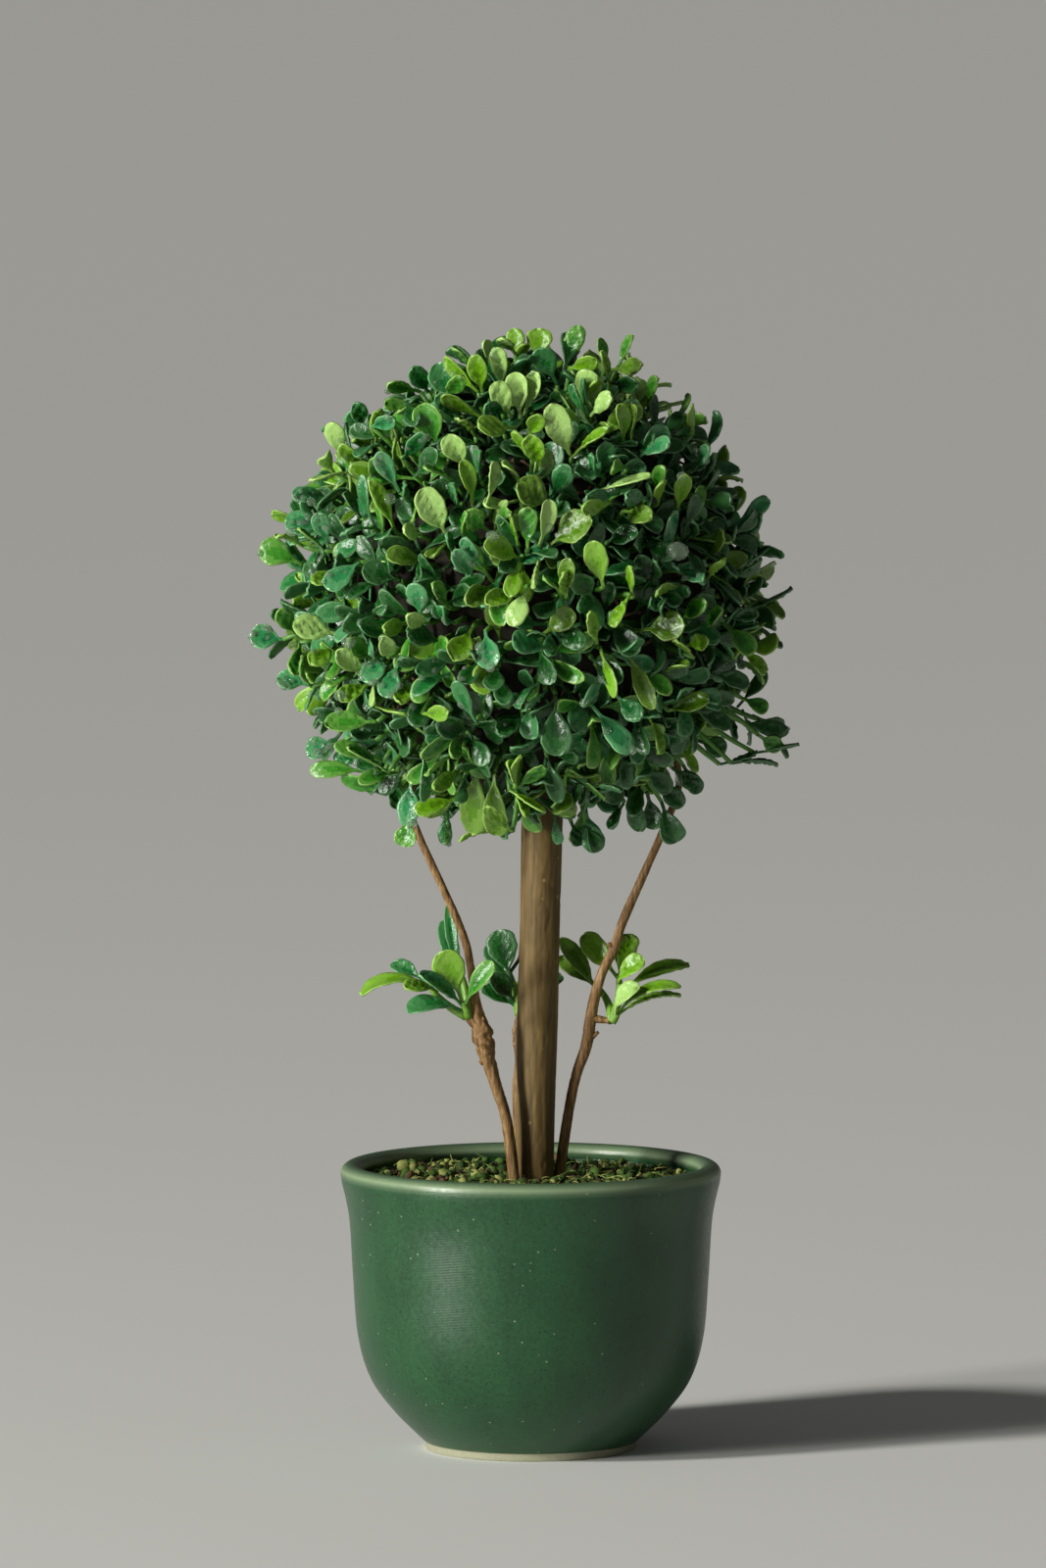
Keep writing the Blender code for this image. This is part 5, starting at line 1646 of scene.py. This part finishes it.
def fill_height(x, y, rim):
    """The fill's lumpy top, flat under the foot of each limb and lower at the pot's wall."""
    (across, shift, along), (up, down) = FILL_WAVES
    lumps = np.sin(across * x + shift) * np.cos(along * y) + 0.6 * np.sin(up * y - down * x)
    low, high = LIMB_FLAT
    away = np.clip((gap_to_limbs(x, y) - low) / (high - low), 0.0, 1.0)
    start = rim * (1 - FILL_EDGE_SHARE)
    edge = np.clip((np.hypot(x, y) - start) / (rim - start), 0.0, 1.0)
    return GROUND + away * FILL_LUMP * lumps - FILL_EDGE_DROP * edge


def fill_rim():
    """The radius of the fill at its top."""
    pot = sizes("pot")
    inside = [r for r, z in side_at(pot.wall + GAP, 2) if z < GROUND - 0.002]
    return inside[-1]


def scatter(count, rim, rng):
    """Random places on the fill's top, clear of the limbs."""
    places = np.zeros((0, 2))
    while len(places) < count:
        radius = rim * np.sqrt(rng.uniform(0, 1, count))
        turn = rng.uniform(0, math.tau, count)
        x, y = radius * np.cos(turn), radius * np.sin(turn)
        keep = gap_to_limbs(x, y) > 0.0
        places = np.concatenate([places, np.stack([x[keep], y[keep]], 1)])
    places = places[:count]
    height = fill_height(places[:, 0], places[:, 1], rim)
    return np.concatenate([places, height[:, None]], 1)


def lumps_at(places, radii, rows, around, flat, ragged, rng):
    """Rings of many rough lumps."""
    count = len(places)
    lift = np.linspace(-0.45, 0.45, rows) * math.pi
    level = np.cos(lift)[None, :, None]
    high = np.sin(lift)[None, :, None]
    angles = np.arange(around)[None, None] * math.tau / around
    rough = 1 + rng.uniform(-ragged, ragged, (count, rows, around))
    local = np.stack(
        [np.cos(angles) * level * rough, np.sin(angles) * level * rough, high * flat * rough], -1
    )
    local = local * radii[:, None, None, None] * rng.uniform(0.6, 1.4, (count, 1, 1, 3))
    axis = unit(rng.normal(size=(count, 3)))
    side = unit(np.cross(axis, unit(rng.normal(size=(count, 3)))))
    over = np.cross(axis, side)
    ways = [way[:, None, None] for way in (side, over, axis)]
    turned = ways[0] * local[..., 0:1] + ways[1] * local[..., 1:2] + ways[2] * local[..., 2:3]
    return places[:, None, None] + turned


def bed_rings(rim):
    """Rings of the bed of moss: out over its top, down its side and back in underneath."""
    share = np.linspace(0.02, 1.0, BED_RINGS)
    angles = -np.arange(BED_AROUND) * math.tau / BED_AROUND
    x = rim * share[:, None] * np.cos(angles)
    y = rim * share[:, None] * np.sin(angles)
    top = fill_height(x, y, rim) - BED_SINK
    for place in np.ndindex(top.shape):
        top[place] += BED_BUMP * noise.noise(Vector((x[place], y[place], 0.0)) * BED_WAVES)
    low = np.full((1, BED_AROUND), GROUND - BED_DEPTH)
    x = np.concatenate([x, x[-1:] * 0.995, x[:1]])
    y = np.concatenate([y, y[-1:] * 0.995, y[:1]])
    return np.stack([x, y, np.concatenate([top, low, low])], -1)


class TOPIARY_OT_fill(bpy.types.Operator):
    """Fill the pot with moss crumbs, fibres and chips of bark"""

    bl_idname = "topiary.moss_fill"
    bl_label = "Moss fill"

    def execute(self, context):
        fill = sizes("fill")
        rim = fill_rim()
        rng = np.random.default_rng(FILL_SEED)
        points, quads, triangles = shells(bed_rings(rim)[None])
        # Dyed preserved moss, dried flat, its colour darkened as painted shade between the bits on it: matt,
        # with each tuft a little lighter or darker
        matted = blotched_material("dyed_moss_bed", fill.bed, (0.5, 1.4), MOSS_TUFT, 3.0, 0.9)
        bed = add_mesh("moss_bed", points, quads, triangles, [matted])
        settle(bed, "moss_fill", "dyed_moss")

        # The same moss and dry pine bark in small bits: matt, each bit of one colour
        colours = [
            plain_material("dyed_moss_green", fill.moss, 0.9),
            plain_material("dyed_moss_dark", rgba(fill.moss, 0.5)[:3], 0.9),
            plain_material("dyed_moss_yellow", fill.yellow_moss, 0.85),
            plain_material("pine_bark_chips", fill.bark_chip, 0.8),
            plain_material("pine_bark_chips_dark", rgba(fill.bark_chip, 0.45)[:3], 0.85),
        ]
        places = scatter(fill.crumbs, rim * CRUMB_REACH, rng)
        radii = rng.triangular(*CRUMB_RADII, fill.crumbs) * MM
        rings = lumps_at(places, radii, *CRUMB_SHAPE, rng)
        self.add("moss_crumbs", rings, colours, CRUMB_SHARES, rng)

        places = scatter(fill.fibres, rim * FIBRE_REACH, rng)
        ways = rng.normal(size=(fill.fibres, 3)) * FIBRE_LEVEL
        tips = places + unit(ways) * rng.uniform(*FIBRE_LENGTHS, (fill.fibres, 1)) * MM
        tips[:, 2] = np.maximum(tips[:, 2], places[:, 2] - FIBRE_RISE)
        out = np.hypot(tips[:, 0], tips[:, 1])
        tips[:, :2] *= np.minimum(1.0, rim * CRUMB_REACH / out)[:, None]
        places[:, 2] += FIBRE_RISE
        rings = bent_twigs(places, tips, *FIBRE, rng)
        self.add("moss_fibres", rings, colours, FIBRE_SHARES, rng)

        places = scatter(fill.chips, rim * CHIP_REACH, rng)
        places[:, 2] += CHIP_RISE
        radii = rng.triangular(*CHIP_RADII, fill.chips) * MM
        rings = lumps_at(places, radii, *CHIP_SHAPE, rng)
        self.add("bark_chips", rings, colours, CHIP_SHARES, rng)
        return {"FINISHED"}

    def add(self, name, rings, materials, shares, rng):
        """One piece of many bits, each with one of the materials."""
        points, quads, triangles = shells(rings)
        kinds = rng.choice(len(materials), len(rings), p=np.array(shares) / sum(shares))
        quad_slots = np.repeat(kinds, len(quads) // len(rings))
        triangle_slots = np.repeat(kinds, len(triangles) // len(rings))
        piece = add_mesh(name, points, quads, triangles, materials, quad_slots, triangle_slots)
        settle(piece, "moss_fill", "dyed_moss")


class TOPIARY_OT_studio(bpy.types.Operator):
    """Set up the floor, the lamps and the camera"""

    bl_idname = "topiary.studio"
    bl_label = "Studio"

    def execute(self, context):
        studio = sizes("studio")
        scene = context.scene
        points = np.array(((-1, -1, 0), (1, -1, 0), (1, 1, 0), (-1, 1, 0)), float) * FLOOR_REACH
        quads = np.array(((0, 1, 2, 3),))
        # Painted studio floor: matt and even
        material, _, _ = new_material("matt_painted_floor", Base_Color=rgba(studio.floor), Roughness=0.9)
        floor = add_mesh("studio_floor", points, quads, np.zeros((0, 3), int), [material])

        target = Vector(AIM)
        sun = bpy.data.lights.new("key_light", "SUN")
        sun.energy = SUN_STRENGTH
        sun.angle = SUN_SPREAD
        box = bpy.data.lights.new("soft_box", "AREA")
        box.shape = "RECTANGLE"
        box.size, box.size_y = BOX_SIZE
        box.energy = BOX_WATTS
        for light, towards in ((sun, SUN_WAY), (box, BOX_WAY)):
            towards = Vector(towards).normalized()
            light.color = LAMP_COLOUR
            lamp = bpy.data.objects.new(light.name, light)
            lamp.location = target + towards * LAMP_DISTANCE
            lamp.rotation_euler = (-towards).to_track_quat("-Z", "Y").to_euler()
            scene.collection.objects.link(lamp)
        world = bpy.data.worlds.new("studio_air")
        world.use_nodes = True
        air = world.node_tree.nodes["Background"]
        air.inputs["Color"].default_value = AIR_COLOUR
        air.inputs["Strength"].default_value = AIR_STRENGTH
        scene.world = world
        scene.view_settings.view_transform = "Standard"

        data = bpy.data.cameras.new("studio_camera")
        data.lens = studio.lens
        data.sensor_width = 36.0
        data.clip_start = 0.05
        data.clip_end = 100.0
        camera = bpy.data.objects.new("studio_camera", data)
        level = math.cos(studio.elevation)
        back = Vector((0.0, -level, math.sin(studio.elevation)))
        camera.location = target + back * studio.distance
        camera.rotation_euler = (-back).to_track_quat("-Z", "Y").to_euler()
        scene.collection.objects.link(camera)
        scene.camera = camera
        return {"FINISHED"}


class TOPIARY_PT_panel(bpy.types.Panel):
    """Lists the pieces of the topiary"""

    bl_label = "Box topiary ball"
    bl_idname = "TOPIARY_PT_panel"
    bl_space_type = "VIEW_3D"
    bl_region_type = "UI"
    bl_category = "Topiary"

    def draw(self, context):
        for operator in OPERATORS:
            self.layout.operator(operator.bl_idname)
        for kind, group in GROUPS.items():
            box = self.layout.box()
            box.label(text=group.__doc__)
            for name in group.__annotations__:
                box.prop(getattr(context.scene, "topiary_" + kind), name)


GROUPS = {
    "pot": PotProperties,
    "fill": FillProperties,
    "bark": BarkProperties,
    "leaf": LeafProperties,
    "studio": StudioProperties,
}
OPERATORS = (
    TOPIARY_OT_pot,
    TOPIARY_OT_fill,
    TOPIARY_OT_trunk,
    TOPIARY_OT_stems,
    TOPIARY_OT_sprigs,
    TOPIARY_OT_leaf_ball,
    TOPIARY_OT_studio,
)


def register():
    for found in (*GROUPS.values(), *OPERATORS, TOPIARY_PT_panel):
        bpy.utils.register_class(found)
    for kind, group in GROUPS.items():
        setattr(bpy.types.Scene, "topiary_" + kind, PointerProperty(type=group))


def unregister():
    for kind in GROUPS:
        delattr(bpy.types.Scene, "topiary_" + kind)
    for found in (TOPIARY_PT_panel, *reversed(OPERATORS), *reversed(list(GROUPS.values()))):
        bpy.utils.unregister_class(found)


def main():
    register()
    bpy.ops.topiary.glazed_pot()
    bpy.ops.topiary.moss_fill()
    bpy.ops.topiary.trunk()
    bpy.ops.topiary.stems()
    bpy.ops.topiary.sprigs()
    bpy.ops.topiary.leaf_ball()
    bpy.ops.topiary.studio()


if __name__ == "__main__":
    main()
